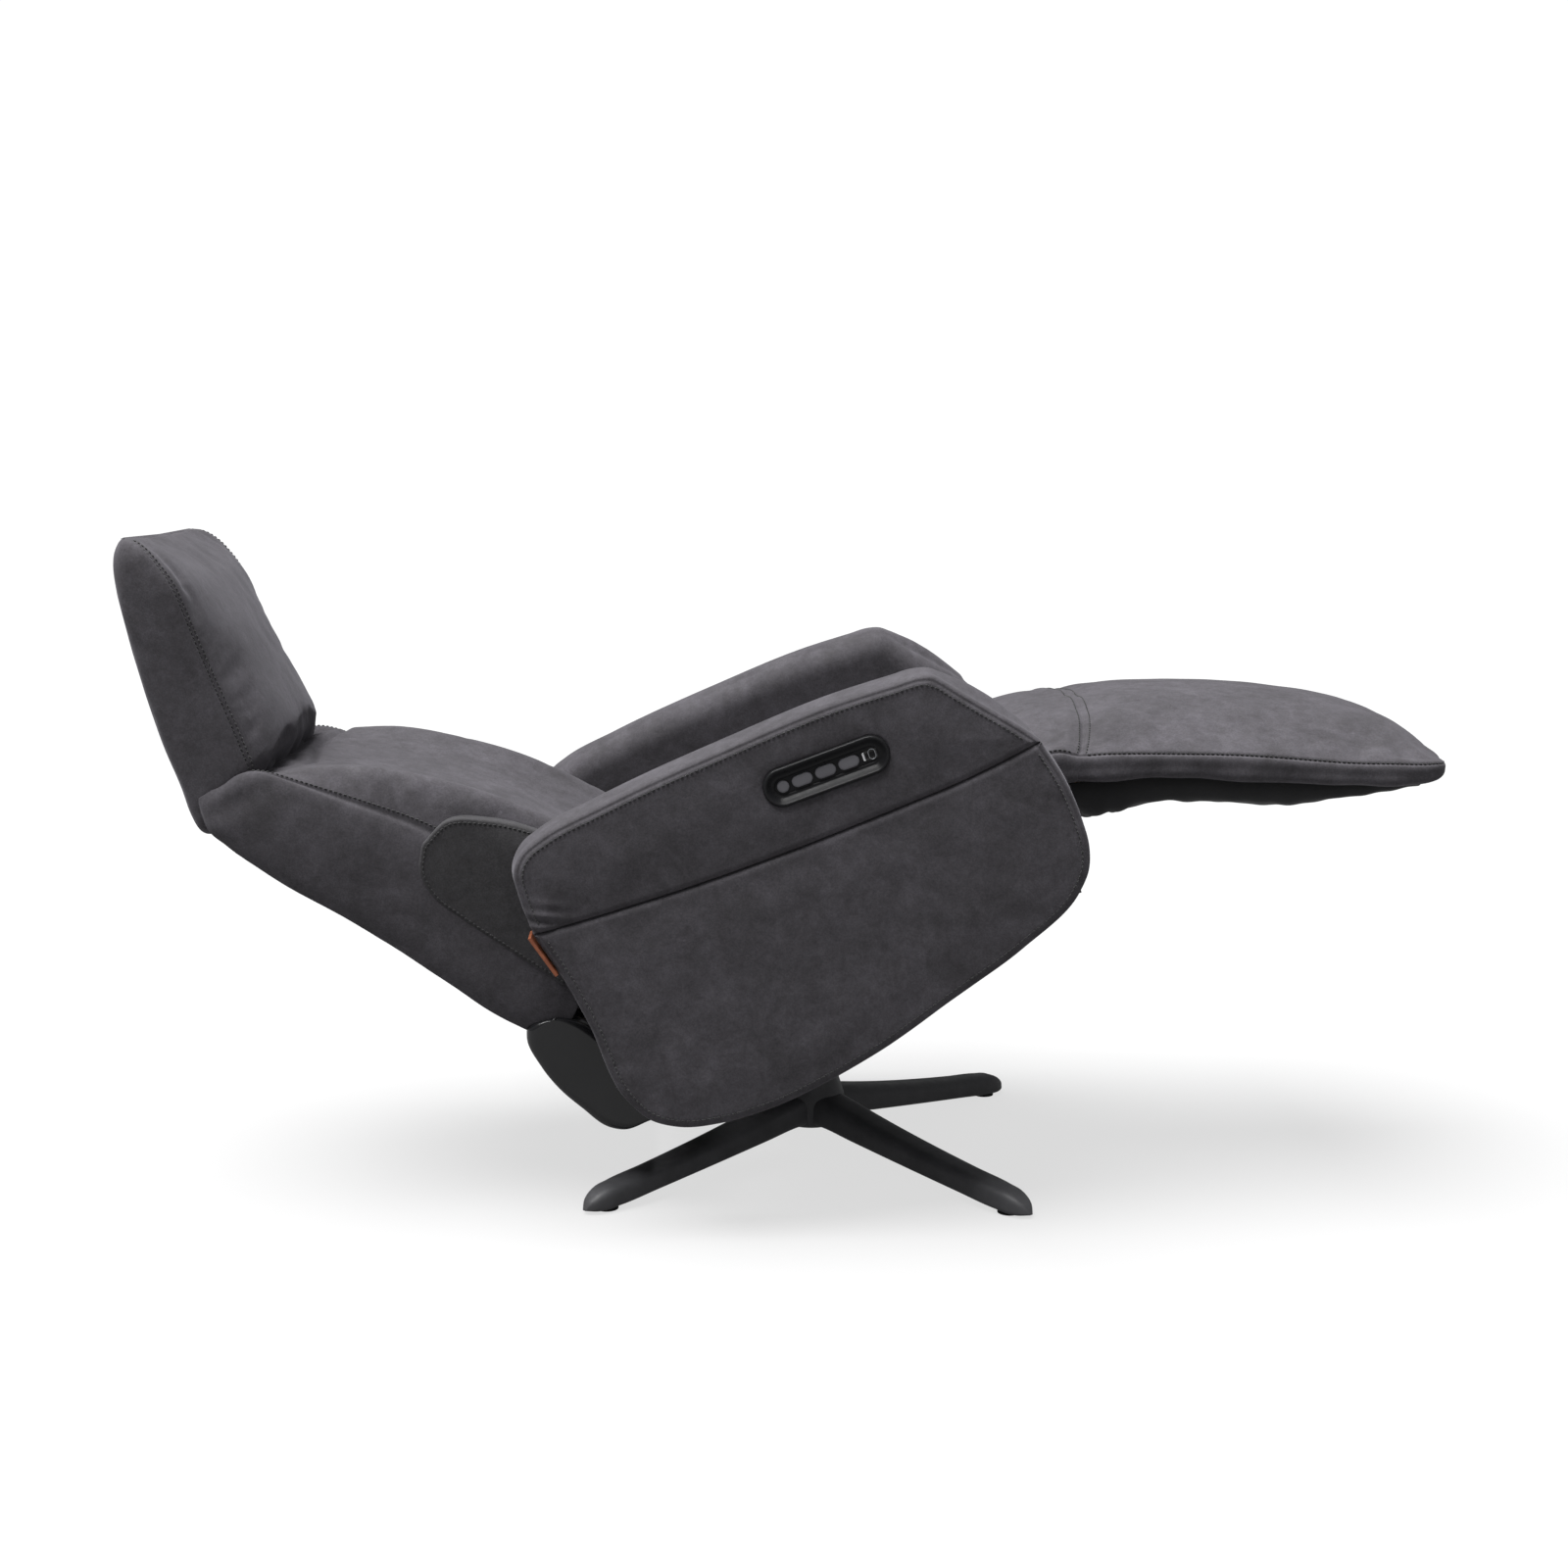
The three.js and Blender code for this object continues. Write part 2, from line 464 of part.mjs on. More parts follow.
// ---- leg rest --------------------------------------------------------------------------
const buildLegRest = () => {
  const reach = LEG_ROD_DROP * Math.tan(LEG_TRAVEL / 2 * DEG);
  const angle = Math.atan2(-LEG_ROD_DROP, reach) + LEG_ANGLE * DEG;
  const far = Math.hypot(reach, LEG_ROD_DROP);
  const along = r => [r * Math.cos(angle), r * Math.sin(angle)];
  const [tx, tz] = along(far);
  const lever = plate([[46, 4], [tx - 14, tz - 4], [tx - 4, tz - 15], [tx + 10, tz - 12],
    [104, 4]], LEG_LEVER_Y - 4, LEG_LEVER_Y + 4);
  const arms = SIDES.map(([, side]) => plate([[-14, 0], [-8, -14], [10, -14], [56, -6],
    [124, -3], [124, 9], [56, 9], [8, 14], [-8, 13]], ...span(side, LINK_IN, LINK_OUT)));
  const board = join(box(44, 330, -195, 195, -1, 13.7),
    box(62, 122, -LINK_OUT, LINK_OUT, -1, 9), lever, ...arms);
  const leverSlot = [far + 2, far - 3, far - 8].map(r =>
    barY(DRIVE_PIN_R + 1.5, LEG_LEVER_Y - 8, LEG_LEVER_Y + 8, ...along(r)));
  const kneeHoles = SIDES.map(([, side]) =>
    barY(STUD_R + RUN, ...span(side, LINK_IN - 1, LINK_OUT + 1)));
  add(leg, 'legrest_frame', cut(board, ...leverSlot, ...kneeHoles), PLYWOOD);

  const under = [[42, 14], [140, 20], [300, 21], [420, 24], [447, 42]];
  const edge = [...under, [452, 52], [446, 54], [341, 49], [228, 51], [134, 49], [26, 42.5]];
  const middle = [...under, [461, 56], [448, 78], [381, 95], [270, 110], [134, 108],
    [50, 94]];
  add(leg, 'legrest_pad', padded(edge, middle, LEG_HALF), FABRIC);
  const bag = [[36, -1.5], [36, -36], [68, -30], [110, -24], [290, -12], [324, -1.5]];
  add(leg, 'legrest_under_cover', cut(plate(bag, -200, 200),
    box(20, 118, LEG_LEVER_Y - 16, LEG_LEVER_Y + 16, -60, 10)), DARK_FABRIC);
};

buildBase();
buildSwivel();
buildSeatFrame();
buildSeatDrives();
buildSeatCushion();
buildArms();
buildRearCover();
buildControls();
buildBack();
buildHead();
buildLegRest();

export default chair;
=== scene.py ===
"""Power recliner armchair: the upholstery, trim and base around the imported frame.

Every surface is a function on a grid, worked out in the upright frame of the body that it
belongs to, in millimetres, and then carried to the chair's frame in metres. The seat, backrest,
headrest and leg rest frames have their origins at the pivots that the bodies turn about.
"""
import json
import math

import bmesh
import bpy
import numpy as np
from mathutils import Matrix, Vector, kdtree


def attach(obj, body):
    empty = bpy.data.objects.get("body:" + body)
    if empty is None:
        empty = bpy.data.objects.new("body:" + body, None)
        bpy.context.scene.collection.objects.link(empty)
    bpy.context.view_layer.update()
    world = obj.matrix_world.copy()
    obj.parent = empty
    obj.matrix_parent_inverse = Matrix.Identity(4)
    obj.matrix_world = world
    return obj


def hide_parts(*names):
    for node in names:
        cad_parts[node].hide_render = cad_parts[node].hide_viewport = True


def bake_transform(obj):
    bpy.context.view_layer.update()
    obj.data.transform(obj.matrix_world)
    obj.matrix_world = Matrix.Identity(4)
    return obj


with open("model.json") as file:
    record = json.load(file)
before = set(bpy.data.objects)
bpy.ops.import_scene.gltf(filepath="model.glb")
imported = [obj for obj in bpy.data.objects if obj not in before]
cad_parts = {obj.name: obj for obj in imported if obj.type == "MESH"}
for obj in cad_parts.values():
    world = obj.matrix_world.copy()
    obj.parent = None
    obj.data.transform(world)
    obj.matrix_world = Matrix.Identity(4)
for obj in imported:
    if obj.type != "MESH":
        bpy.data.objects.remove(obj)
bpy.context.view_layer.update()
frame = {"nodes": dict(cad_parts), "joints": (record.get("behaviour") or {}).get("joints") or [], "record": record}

MM = 0.001
JOINTS = {j["name"]: j for j in frame["joints"]}
# Body frames: the joint that each is centred on, and its lean back from upright in degrees.
SEAT = ("seat_tilt", 20.0)
BACK = ("back_recline", 57.5)
HEAD = ("headrest_flex", 18.0)
LEG = ("legrest_fold", -3.0)
SWIVEL_X = JOINTS["swivel_turn"]["pos_m"][0] / MM

ARM_FACE = 350.0                 # outer face of each arm
ARM_INNER = 252.0                # inner face of each arm
EDGE_STEPS = 900                 # even steps that a cover's edge is first drawn in


# ---- shapes ----------------------------------------------------------------------------
def placed(points, body_frame):
    """Points of a body's upright frame, turned nose-up by its lean and moved to its pivot."""
    joint, lean = body_frame
    x, y, z = np.moveaxis(np.asarray(points, float) * MM, -1, 0)
    px, _, pz = JOINTS[joint]["pos_m"]
    c, s = math.cos(math.radians(lean)), math.sin(math.radians(lean))
    return np.stack([px + x * c - z * s, y, pz + x * s + z * c], -1)


def curve(t, keys, values):
    """Smooth curve through key values: cubic pieces whose slopes are averaged at each key."""
    keys, values = np.asarray(keys, float), np.asarray(values, float)
    step = np.diff(keys)
    rise = np.diff(values) / step
    slope = np.empty_like(values)
    slope[1:-1] = (rise[:-1] * step[1:] + rise[1:] * step[:-1]) / (step[:-1] + step[1:])
    slope[0], slope[-1] = rise[0], rise[-1]
    i = np.clip(np.searchsorted(keys, t) - 1, 0, len(step) - 1)
    h = step[i]
    u = np.clip((t - keys[i]) / h, 0, 1)
    return ((1 + 2 * u) * (1 - u) ** 2 * values[i] + u * (1 - u) ** 2 * h * slope[i]
            + u * u * (3 - 2 * u) * values[i + 1] + u * u * (u - 1) * h * slope[i + 1])


def weights(t, keys):
    """The share of each key value in the smooth curve at every t, one column per key."""
    return np.stack([curve(t, keys, row) for row in np.eye(len(keys))], -1)


def path(points, count, closed=False):
    """A smooth line through given points, sampled at even steps of its length."""
    points = np.asarray(points, float)
    if closed:
        points = np.vstack([points[-2:], points, points[:3]])
    length = lengths(points)
    first, last = (length[2], length[-3]) if closed else (0, length[-1])
    fine = np.linspace(first, last, 1500)
    dense = np.stack([curve(fine, length, column) for column in points.T], -1)
    return even_steps(dense, count, not closed)


def lengths(line):
    """The length of a line of points up to each of them."""
    return np.r_[0, np.cumsum(np.linalg.norm(np.diff(line, axis=0), axis=1))]


def resampled(values, at, places):
    """Values that are known at the given places, read off at other places."""
    return np.stack([np.interp(at, places, column) for column in values.T], -1)


def even_steps(line, count, endpoint):
    """A line of points at even steps of its length, with or without its last point."""
    along = lengths(line)
    return resampled(line, np.linspace(0, along[-1], count, endpoint=endpoint), along)


def edge_line(keys, rows):
    """A smooth edge through listed points, taken at the given shares of its length."""
    return resampled(path(keys, EDGE_STEPS), rows * (EDGE_STEPS - 1), np.arange(EDGE_STEPS))


def ruled(low, high, v):
    """A grid of straight rulings between two lines, at the shares v of the way across."""
    return low[:, None] + (high - low)[:, None] * v[None, :, None]


def unit(vectors):
    """The same directions with a length of one."""
    return vectors / np.maximum(np.linalg.norm(vectors, axis=-1, keepdims=True), 1e-12)


def spread(count, low=0.0, high=1.0, near=(), tight=0.02, extra=3.0):
    """Steps from low to high that crowd together near the given places."""
    fine = np.linspace(low, high, 4000)
    density = 1 + sum(extra * np.exp(-((fine - n) / tight) ** 2) for n in near) + 0 * fine
    total = np.r_[0, np.cumsum((density[1:] + density[:-1]) / 2)]
    return np.interp(np.linspace(0, total[-1], count), total, fine)


def distance(points, line):
    """Distance of each point to a line of points, in the line's own plane."""
    flat = points.reshape(-1, 2)
    a, b = line[:-1], line[1:]
    along = b - a
    size = np.maximum((along ** 2).sum(1), 1e-9)
    result = np.empty(len(flat))
    for start in range(0, len(flat), 4000):
        chunk = flat[start:start + 4000, None, :]
        t = np.clip(((chunk - a) * along).sum(2) / size, 0, 1)
        gap = chunk - (a + t[..., None] * along)
        result[start:start + 4000] = np.sqrt((gap ** 2).sum(2)).min(1)
    return result.reshape(points.shape[:-1])


def ripple(a, b, seed, waves=7, low=0.02, high=0.09):
    """Soft random waves over a surface: a sum of sines of random direction and length."""
    rng = np.random.default_rng(seed)
    total = np.zeros(np.broadcast(a, b).shape)
    for _ in range(waves):
        size = rng.uniform(low, high)
        turn, phase = rng.uniform(0, 2 * math.pi, 2)
        total += np.sin((a * math.cos(turn) + b * math.sin(turn)) * size * 2 * math.pi / 4 + phase)
    return total / waves


def normals(grid):
    """Unit normals of a grid of rings, from the cross product of its two directions."""
    du = np.gradient(grid, axis=0)
    dv = (np.roll(grid, -1, 1) - np.roll(grid, 1, 1)) / 2
    return unit(np.cross(du, dv))


def dent(offset, width, depth):
    """A sewn line's valley: a bell curve across the line."""
    return -depth * np.exp(-(offset / width) ** 2)


def mesh_piece(name, grid, material, caps=True):
    """One closed mesh from a grid of points: each row is a ring, joined to the next ring,
    and the two ends are closed by a fan."""
    rows, cols = grid.shape[:2]
    index = np.arange(rows * cols).reshape(rows, cols)
    side = np.roll(index, -1, 1)
    quads = [np.stack([index[:-1], side[:-1], side[1:], index[1:]], -1).reshape(-1, 4)]
    points, tris = [grid.reshape(-1, 3)], []
    if caps:
        for number, row in enumerate((0, -1)):
            points.append(grid[row].mean(0)[None])
            hub = np.full(cols, rows * cols + number)
            fan = np.stack([index[row], side[row], hub], -1)
            tris.append(fan if number else fan[:, ::-1])
    return build(name, np.vstack(points), quads, tris, material)


def build(name, points, quads, tris, material):
    """A Blender mesh from arrays, its doubles merged and its faces turned outwards."""
    mesh = bpy.data.meshes.new(name)
    quads = np.vstack(quads) if quads else np.empty((0, 4), int)
    tris = np.vstack(tris) if tris else np.empty((0, 3), int)
    loops = np.r_[quads.ravel(), tris.ravel()]
    sizes = np.r_[np.full(len(quads), 4), np.full(len(tris), 3)]
    mesh.vertices.add(len(points))
    mesh.vertices.foreach_set("co", np.asarray(points, np.float32).ravel())
    mesh.loops.add(len(loops))
    mesh.loops.foreach_set("vertex_index", loops.astype(np.int32))
    mesh.polygons.add(len(sizes))
    mesh.polygons.foreach_set("loop_start", np.r_[0, np.cumsum(sizes)[:-1]].astype(np.int32))
    mesh.update(calc_edges=True)
    work = bmesh.new()
    work.from_mesh(mesh)
    bmesh.ops.remove_doubles(work, verts=work.verts, dist=2e-6)
    bmesh.ops.dissolve_degenerate(work, edges=work.edges, dist=1e-7)
    bmesh.ops.recalc_face_normals(work, faces=work.faces)
    if work.calc_volume(signed=True) < 0:
        bmesh.ops.reverse_faces(work, faces=work.faces)
    work.to_mesh(mesh)
    work.free()
    mesh.polygons.foreach_set("use_smooth", np.full(len(mesh.polygons), True))
    mesh.materials.append(material)
    piece = bpy.data.objects.new(name, mesh)
    bpy.context.scene.collection.objects.link(piece)
    return piece


CLOTH_FRAMES = 14
CLOTH_REACH = 5.0                # how far a cover may move while it settles


def settle(piece, points, held, slack=0.012, pressure=2.5):
    """Lets a sewn cover relax as cloth: cut a little larger than its filling, held along its
    seams, with the filling pressing outwards. The result is put into the mesh. The held
    shares, 1 at a seam, are given for the grid of points that the piece was made from."""
    flat = points.reshape(-1, 3)
    tree = kdtree.KDTree(len(flat))
    for i, point in enumerate(flat):
        tree.insert(point, i)
    tree.balance()
    mesh = piece.data
    share = np.broadcast_to(held, points.shape[:2]).ravel()
    group = piece.vertex_groups.new(name="held")
    for vertex in mesh.vertices:
        group.add([vertex.index], float(share[tree.find(vertex.co)[1]]), "REPLACE")
    cloth = piece.modifiers.new("settling", "CLOTH")
    cloth.point_cache.frame_start, cloth.point_cache.frame_end = 1, CLOTH_FRAMES
    sewn = cloth.settings
    sewn.quality = 5
    sewn.mass = 0.15
    sewn.tension_stiffness = sewn.compression_stiffness = 12
    sewn.shear_stiffness = 6
    sewn.bending_stiffness = 0.6
    sewn.shrink_min = -slack
    sewn.use_pressure = True
    sewn.uniform_pressure_force = pressure
    sewn.vertex_group_mass = "held"
    sewn.effector_weights.gravity = 0
    cloth.collision_settings.use_collision = False
    scene = bpy.context.scene
    for number in range(1, CLOTH_FRAMES + 1):
        scene.frame_set(number)
    result = piece.evaluated_get(bpy.context.evaluated_depsgraph_get()).to_mesh()
    before, after = np.empty(len(mesh.vertices) * 3), np.empty(len(mesh.vertices) * 3)
    mesh.vertices.foreach_get("co", before)
    result.vertices.foreach_get("co", after)
    piece.modifiers.remove(cloth)
    piece.vertex_groups.remove(group)
    scene.frame_set(1)
    move = relaxed(mesh, (after - before).reshape(-1, 3))
    size = np.maximum(np.linalg.norm(move, axis=1, keepdims=True), 1e-9)
    move *= np.tanh(size / (CLOTH_REACH * MM)) * CLOTH_REACH * MM / size
    mesh.vertices.foreach_set("co", before + move.ravel())
    mesh.update()


def held_share(free, seam):
    """How firmly each point of a cover is held: fully at its seams, hardly where it is free."""
    return 1 - 0.97 * free * (1 - np.exp(-(seam / 0.22) ** 2))


def relaxed(mesh, values, rounds=3):
    """Values on a mesh's vertices, evened out with their neighbours."""
    edges = np.empty(len(mesh.edges) * 2, int)
    mesh.edges.foreach_get("vertices", edges)
    a, b = edges.reshape(-1, 2).T
    count = np.bincount(np.r_[a, b], minlength=len(values))[:, None]
    for _ in range(rounds):
        near = np.stack([np.bincount(np.r_[a, b], np.r_[values[b, k], values[a, k]], len(values))
                         for k in range(3)], -1)
        values = 0.5 * values + 0.5 * near / np.maximum(count, 1)
    return values


STITCH_LENGTH = 4.2
STITCH_PITCH = 5.9
STITCH_R = 0.9
STITCH_SIDES = 5
THREAD_LIFT = 0.25               # how far the thread's middle stands off a lofted cover
THREAD_PROUD = 0.3               # and off a flat-sided pad


def stitches(name, lines, material):
    """Topstitching: along each line of (points, normals) a row of small spindles, one thread
    length each, lying on the cloth. A spindle is three rings of five points and two tips."""
    rings = np.array([0.0, 0.18, 0.5, 0.82, 1.0])
    girth = np.array([0.0, 0.85, 1.0, 0.85, 0.0])
    turn = np.arange(STITCH_SIDES) * 2 * math.pi / STITCH_SIDES
    points, quads, tris, base = [], [], [], 0
    for line, up in lines:
        along = lengths(line) / MM
        starts = np.arange(0.5, along[-1] - STITCH_LENGTH, STITCH_PITCH)
        a, b = (resampled(line, starts + reach, along) for reach in (0, STITCH_LENGTH))
        n = resampled(up, starts + STITCH_LENGTH / 2, along)
        side, lift = unit(np.cross(b - a, n)), unit(n)
        core = a[:, None] + (b - a)[:, None] * rings[None, :, None]
        arch = np.sin(rings * math.pi)[None, :, None] * lift[:, None] * 0.35 * MM
        round_ = (side[:, None, None] * np.cos(turn)[None, None, :, None]
                  + lift[:, None, None] * np.sin(turn)[None, None, :, None])
        body = (core + arch)[:, :, None] + round_ * (girth * STITCH_R * MM)[None, :, None, None]
        count, sides = len(starts), STITCH_SIDES
        middle = body[:, 1:4].reshape(count, 3 * sides, 3)
        tips = (core + arch)[:, [0, 4]]
        points.append(np.concatenate([middle, tips], 1).reshape(-1, 3))
        each = 3 * sides + 2
        first = base + np.arange(count)[:, None] * each
        i, j = np.arange(sides), (np.arange(sides) + 1) % sides
        for start in (first, first + sides):
            quads.append(np.stack([start + i, start + j, start + j + sides, start + i + sides],
                                  -1).reshape(-1, 4))
        last = first + 2 * sides
        tris.append(np.stack([first + j, first + i, first + 3 * sides + 0 * i],
                             -1).reshape(-1, 3))
        tris.append(np.stack([last + i, last + j, last + sides + 1 + 0 * i], -1).reshape(-1, 3))
        base += count * each
    return build(name, np.vstack(points), quads, tris, material)


def on_surface(grid, rows, cols):
    """A line across a grid at fractional rows and columns, with the surface normals there."""
    up = normals(grid)
    r0 = np.clip(np.floor(rows).astype(int), 0, grid.shape[0] - 2)
    fr = (rows - r0)[:, None]
    c0 = np.floor(cols).astype(int)
    fc = (cols - c0)[:, None]
    c1 = (c0 + 1) % grid.shape[1]
    c0 = c0 % grid.shape[1]
    take = lambda g: ((g[r0, c0] * (1 - fc) + g[r0, c1] * fc) * (1 - fr)
                      + (g[r0 + 1, c0] * (1 - fc) + g[r0 + 1, c1] * fc) * fr)
    n = unit(take(up))
    return take(grid) + n * THREAD_LIFT * MM, n


def outward(line, centre):
    """Turns a line's normals away from a point inside the piece."""
    points, n = line
    away = np.sign(((points - np.asarray(centre)) * n).sum(1, keepdims=True))
    flipped = points + n * (away - 1) * THREAD_LIFT * MM
    return flipped, n * away


# ---- materials -------------------------------------------------------------------------
def new_material(name, colour, roughness, metallic=0.0, **sockets):
    """A material with its constant values on the shader's own sockets."""
    material = bpy.data.materials.new(name)
    material.use_nodes = True
    shader = material.node_tree.nodes["Principled BSDF"]
    shader.inputs["Base Color"].default_value = (*colour, 1)
    shader.inputs["Roughness"].default_value = roughness
    shader.inputs["Metallic"].default_value = metallic
    for socket, value in sockets.items():
        shader.inputs[socket.replace("_", " ")].default_value = value
    return material


def noise(material, scale, detail=4.0, rough=0.55, distortion=0.0, stretch=None):
    """A noise pattern on Object coordinates; returns its value socket."""
    nodes, links = material.node_tree.nodes, material.node_tree.links
    coords = nodes.new("ShaderNodeTexCoord")
    pattern = nodes.new("ShaderNodeTexNoise")
    pattern.inputs["Scale"].default_value = scale
    pattern.inputs["Detail"].default_value = detail
    pattern.inputs["Roughness"].default_value = rough
    pattern.inputs["Distortion"].default_value = distortion
    source = coords.outputs["Object"]
    if stretch:
        mapping = nodes.new("ShaderNodeMapping")
        mapping.inputs["Scale"].default_value = stretch
        links.new(source, mapping.inputs["Vector"])
        source = mapping.outputs["Vector"]
    links.new(source, pattern.inputs["Vector"])
    return pattern.outputs["Fac"]


def ramp(material, value, stops):
    """Colours along a value: stops are (place, colour)."""
    nodes, links = material.node_tree.nodes, material.node_tree.links
    node = nodes.new("ShaderNodeValToRGB")
    elements = node.color_ramp.elements
    while len(elements) < len(stops):
        elements.new(0.5)
    for element, (place, colour) in zip(elements, stops):
        element.position = place
        element.color = (*colour, 1)
    links.new(value, node.inputs["Fac"])
    return node.outputs["Color"]


def mix(material, factor, a, b, mode="MIX"):
    """Two colours mixed; factor is a number or a socket."""
    nodes, links = material.node_tree.nodes, material.node_tree.links
    node = nodes.new("ShaderNodeMix")
    node.data_type = "RGBA"
    node.blend_type = mode
    for socket, value in ((node.inputs[0], factor), (node.inputs[6], a), (node.inputs[7], b)):
        if isinstance(value, (int, float)):
            socket.default_value = value
        elif isinstance(value, tuple):
            socket.default_value = (*value, 1)
        else:
            links.new(value, socket)
    return node.outputs[2]


def bump(material, layers):
    """Bump nodes in a chain: layers are (height socket, strength, distance in metres)."""
    nodes, links = material.node_tree.nodes, material.node_tree.links
    shader = nodes["Principled BSDF"]
    previous = None
    for height, strength, reach in layers:
        node = nodes.new("ShaderNodeBump")
        node.inputs["Strength"].default_value = strength
        node.inputs["Distance"].default_value = reach
        links.new(height, node.inputs["Height"])
        if previous:
            links.new(previous, node.inputs["Normal"])
        previous = node.outputs["Normal"]
    links.new(previous, shader.inputs["Normal"])


def set_input(material, socket, value):
    """Links a value to one of the shader's inputs."""
    shader = material.node_tree.nodes["Principled BSDF"]
    material.node_tree.links.new(value, shader.inputs[socket])


def vary(material, socket, pattern, low, high):
    """Runs a shader input between two values, colours or plain numbers, with a pattern."""
    stops = [(place, value if isinstance(value, tuple) else (value,) * 3)
             for place, value in ((0.3, low), (0.7, high))]
    set_input(material, socket, ramp(material, pattern, stops))


def scaled(colour, share):
    """A lighter or darker tone of a colour."""
    return tuple(c * share for c in colour)


def nubuck(name, dark, light, sheen):
    """Brushed anthracite nubuck: cloudy patches where the nap lies differently, small
    scuffs, a fine pebbled grain and a soft sheen at grazing light."""
    material = new_material(name, light, 0.82, Sheen_Weight=sheen, Sheen_Roughness=0.45,
                            Sheen_Tint=(0.80, 0.78, 0.86, 1), Specular_IOR_Level=0.22)
    clouds = ramp(material, noise(material, 13, 7, 0.68, 0.6), [(0.32, dark), (0.68, light)])
    scuffs = ramp(material, noise(material, 75, 6, 0.72, 0.5),
                  [(0.32, (0.74, 0.73, 0.72)), (0.68, (1.24, 1.24, 1.26))])
    specks = ramp(material, noise(material, 480, 3, 0.6),
                  [(0.36, (0.78, 0.78, 0.78)), (0.64, (1.20, 1.19, 1.18))])
    colour = mix(material, 0.75, clouds, scuffs, "MULTIPLY")
    colour = mix(material, 0.7, colour, specks, "MULTIPLY")
    set_input(material, "Base Color", colour)
    vary(material, "Roughness", noise(material, 30, 4, 0.6), 0.74, 0.92)
    bump(material, [(noise(material, 700, 4, 0.6), 0.45, 0.0004),
                    (noise(material, 150, 6, 0.7), 0.35, 0.0009),
                    (noise(material, 20, 4, 0.55), 0.25, 0.003)])
    return material


def gloss(name, colour, roughness, shine=0.3):
    """Moulded gloss plastic: fine polishing haze in the roughness and slight flow waves."""
    material = new_material(name, colour, roughness, Specular_IOR_Level=shine)
    vary(material, "Roughness", noise(material, 60, 5, 0.6), roughness * 0.8, roughness * 1.35)
    vary(material, "Base Color", noise(material, 14, 3, 0.5), scaled(colour, 0.85),
         scaled(colour, 1.2))
    bump(material, [(noise(material, 25, 2, 0.4), 0.04, 0.0008)])
    return material


def powder(name, colour, roughness):
    """Powder coat or moulded matt: an even orange-peel texture and faint cloudy variation."""
    material = new_material(name, colour, roughness, Specular_IOR_Level=0.4)
    vary(material, "Base Color", noise(material, 22, 5, 0.6), scaled(colour, 0.8),
         scaled(colour, 1.25))
    vary(material, "Roughness", noise(material, 90, 4, 0.6), roughness * 0.9,
         min(1.0, roughness * 1.12))
    bump(material, [(noise(material, 850, 3, 0.5), 0.22, 0.0003)])
    return material


def leather(name, dark, light):
    """Smooth vegetable-tanned leather: pores and a little mottling."""
    material = new_material(name, light, 0.5, Coat_Weight=0.1, Coat_Roughness=0.4)
    vary(material, "Base Color", noise(material, 90, 6, 0.65, 0.6), dark, light)
    bump(material, [(noise(material, 1400, 4, 0.6), 0.4, 0.0003),
                    (noise(material, 260, 4, 0.6), 0.25, 0.0006)])
    return material


def lining(name, colour):
    """Black non-woven lining cloth: a faint cross weave and dusty patches."""
    material = new_material(name, colour, 0.9, Sheen_Weight=0.15, Sheen_Roughness=0.6)
    cross = mix(material, 0.5, noise(material, 500, 2, 0.5, 0, (1, 1, 0.15)),
                noise(material, 500, 2, 0.5, 0, (0.15, 1, 1)))
    vary(material, "Base Color", noise(material, 16, 5, 0.6), scaled(colour, 0.7),
         scaled(colour, 1.4))
    bump(material, [(cross, 0.5, 0.0004), (noise(material, 24, 4, 0.6), 0.3, 0.003)])
    return material


def brushed(name, colour, roughness):
    """Turned steel: fine lines round the bar."""
    material = new_material(name, colour, roughness, 1.0)
    lines = noise(material, 300, 3, 0.6, 0, (6, 0.4, 6))
    vary(material, "Roughness", lines, roughness * 0.7, roughness * 1.4)
    bump(material, [(lines, 0.15, 0.0003)])
    return material


def plywood(name):
    """Birch plywood: long grain streaks and darker pores."""
    material = new_material(name, (0.55, 0.38, 0.21), 0.7)
    grain = noise(material, 12, 7, 0.65, 0.8, (1, 1, 9))
    vary(material, "Base Color", grain, (0.40, 0.25, 0.12), (0.66, 0.47, 0.27))
    bump(material, [(grain, 0.2, 0.0006)])
    return material


def sewing_thread(name, dark, light):
    """Twisted polyester thread: its tone changes a little from stitch to stitch."""
    material = new_material(name, light, 0.75, Sheen_Weight=0.2)
    vary(material, "Base Color", noise(material, 900, 2, 0.5), dark, light)
    return material


NUBUCK = nubuck("anthracite_nubuck", (0.038, 0.0358, 0.0395), (0.064, 0.0602, 0.068), 0.14)
SMOOTH_SIDE = nubuck("smooth_side_cloth", (0.031, 0.030, 0.032), (0.042, 0.041, 0.043), 0.10)
THREAD = sewing_thread("anthracite_thread", (0.004, 0.004, 0.004), (0.012, 0.012, 0.013))
LINING = lining("black_lining", (0.010, 0.010, 0.011))
GLOSS_BLACK = gloss("gloss_black_plastic", (0.009, 0.009, 0.010), 0.18, 0.5)
DARK_PANEL = gloss("dark_panel_plastic", (0.012, 0.012, 0.013), 0.30, 0.14)
BUTTON_GREY = gloss("button_grey_plastic", (0.130, 0.128, 0.140), 0.38)
CHROME = brushed("bright_chrome", (0.80, 0.80, 0.82), 0.12)
BASE_BLACK = powder("matt_black_powder_coat", (0.060, 0.060, 0.064), 0.5)
FRAME_BLACK = powder("black_frame_paint", (0.018, 0.018, 0.020), 0.55)
STEEL = brushed("turned_steel", (0.42, 0.43, 0.45), 0.32)
PLY = plywood("birch_plywood")
NYLON = powder("white_nylon", (0.62, 0.60, 0.55), 0.5)
RUBBER = powder("black_rubber", (0.008, 0.008, 0.008), 0.85)
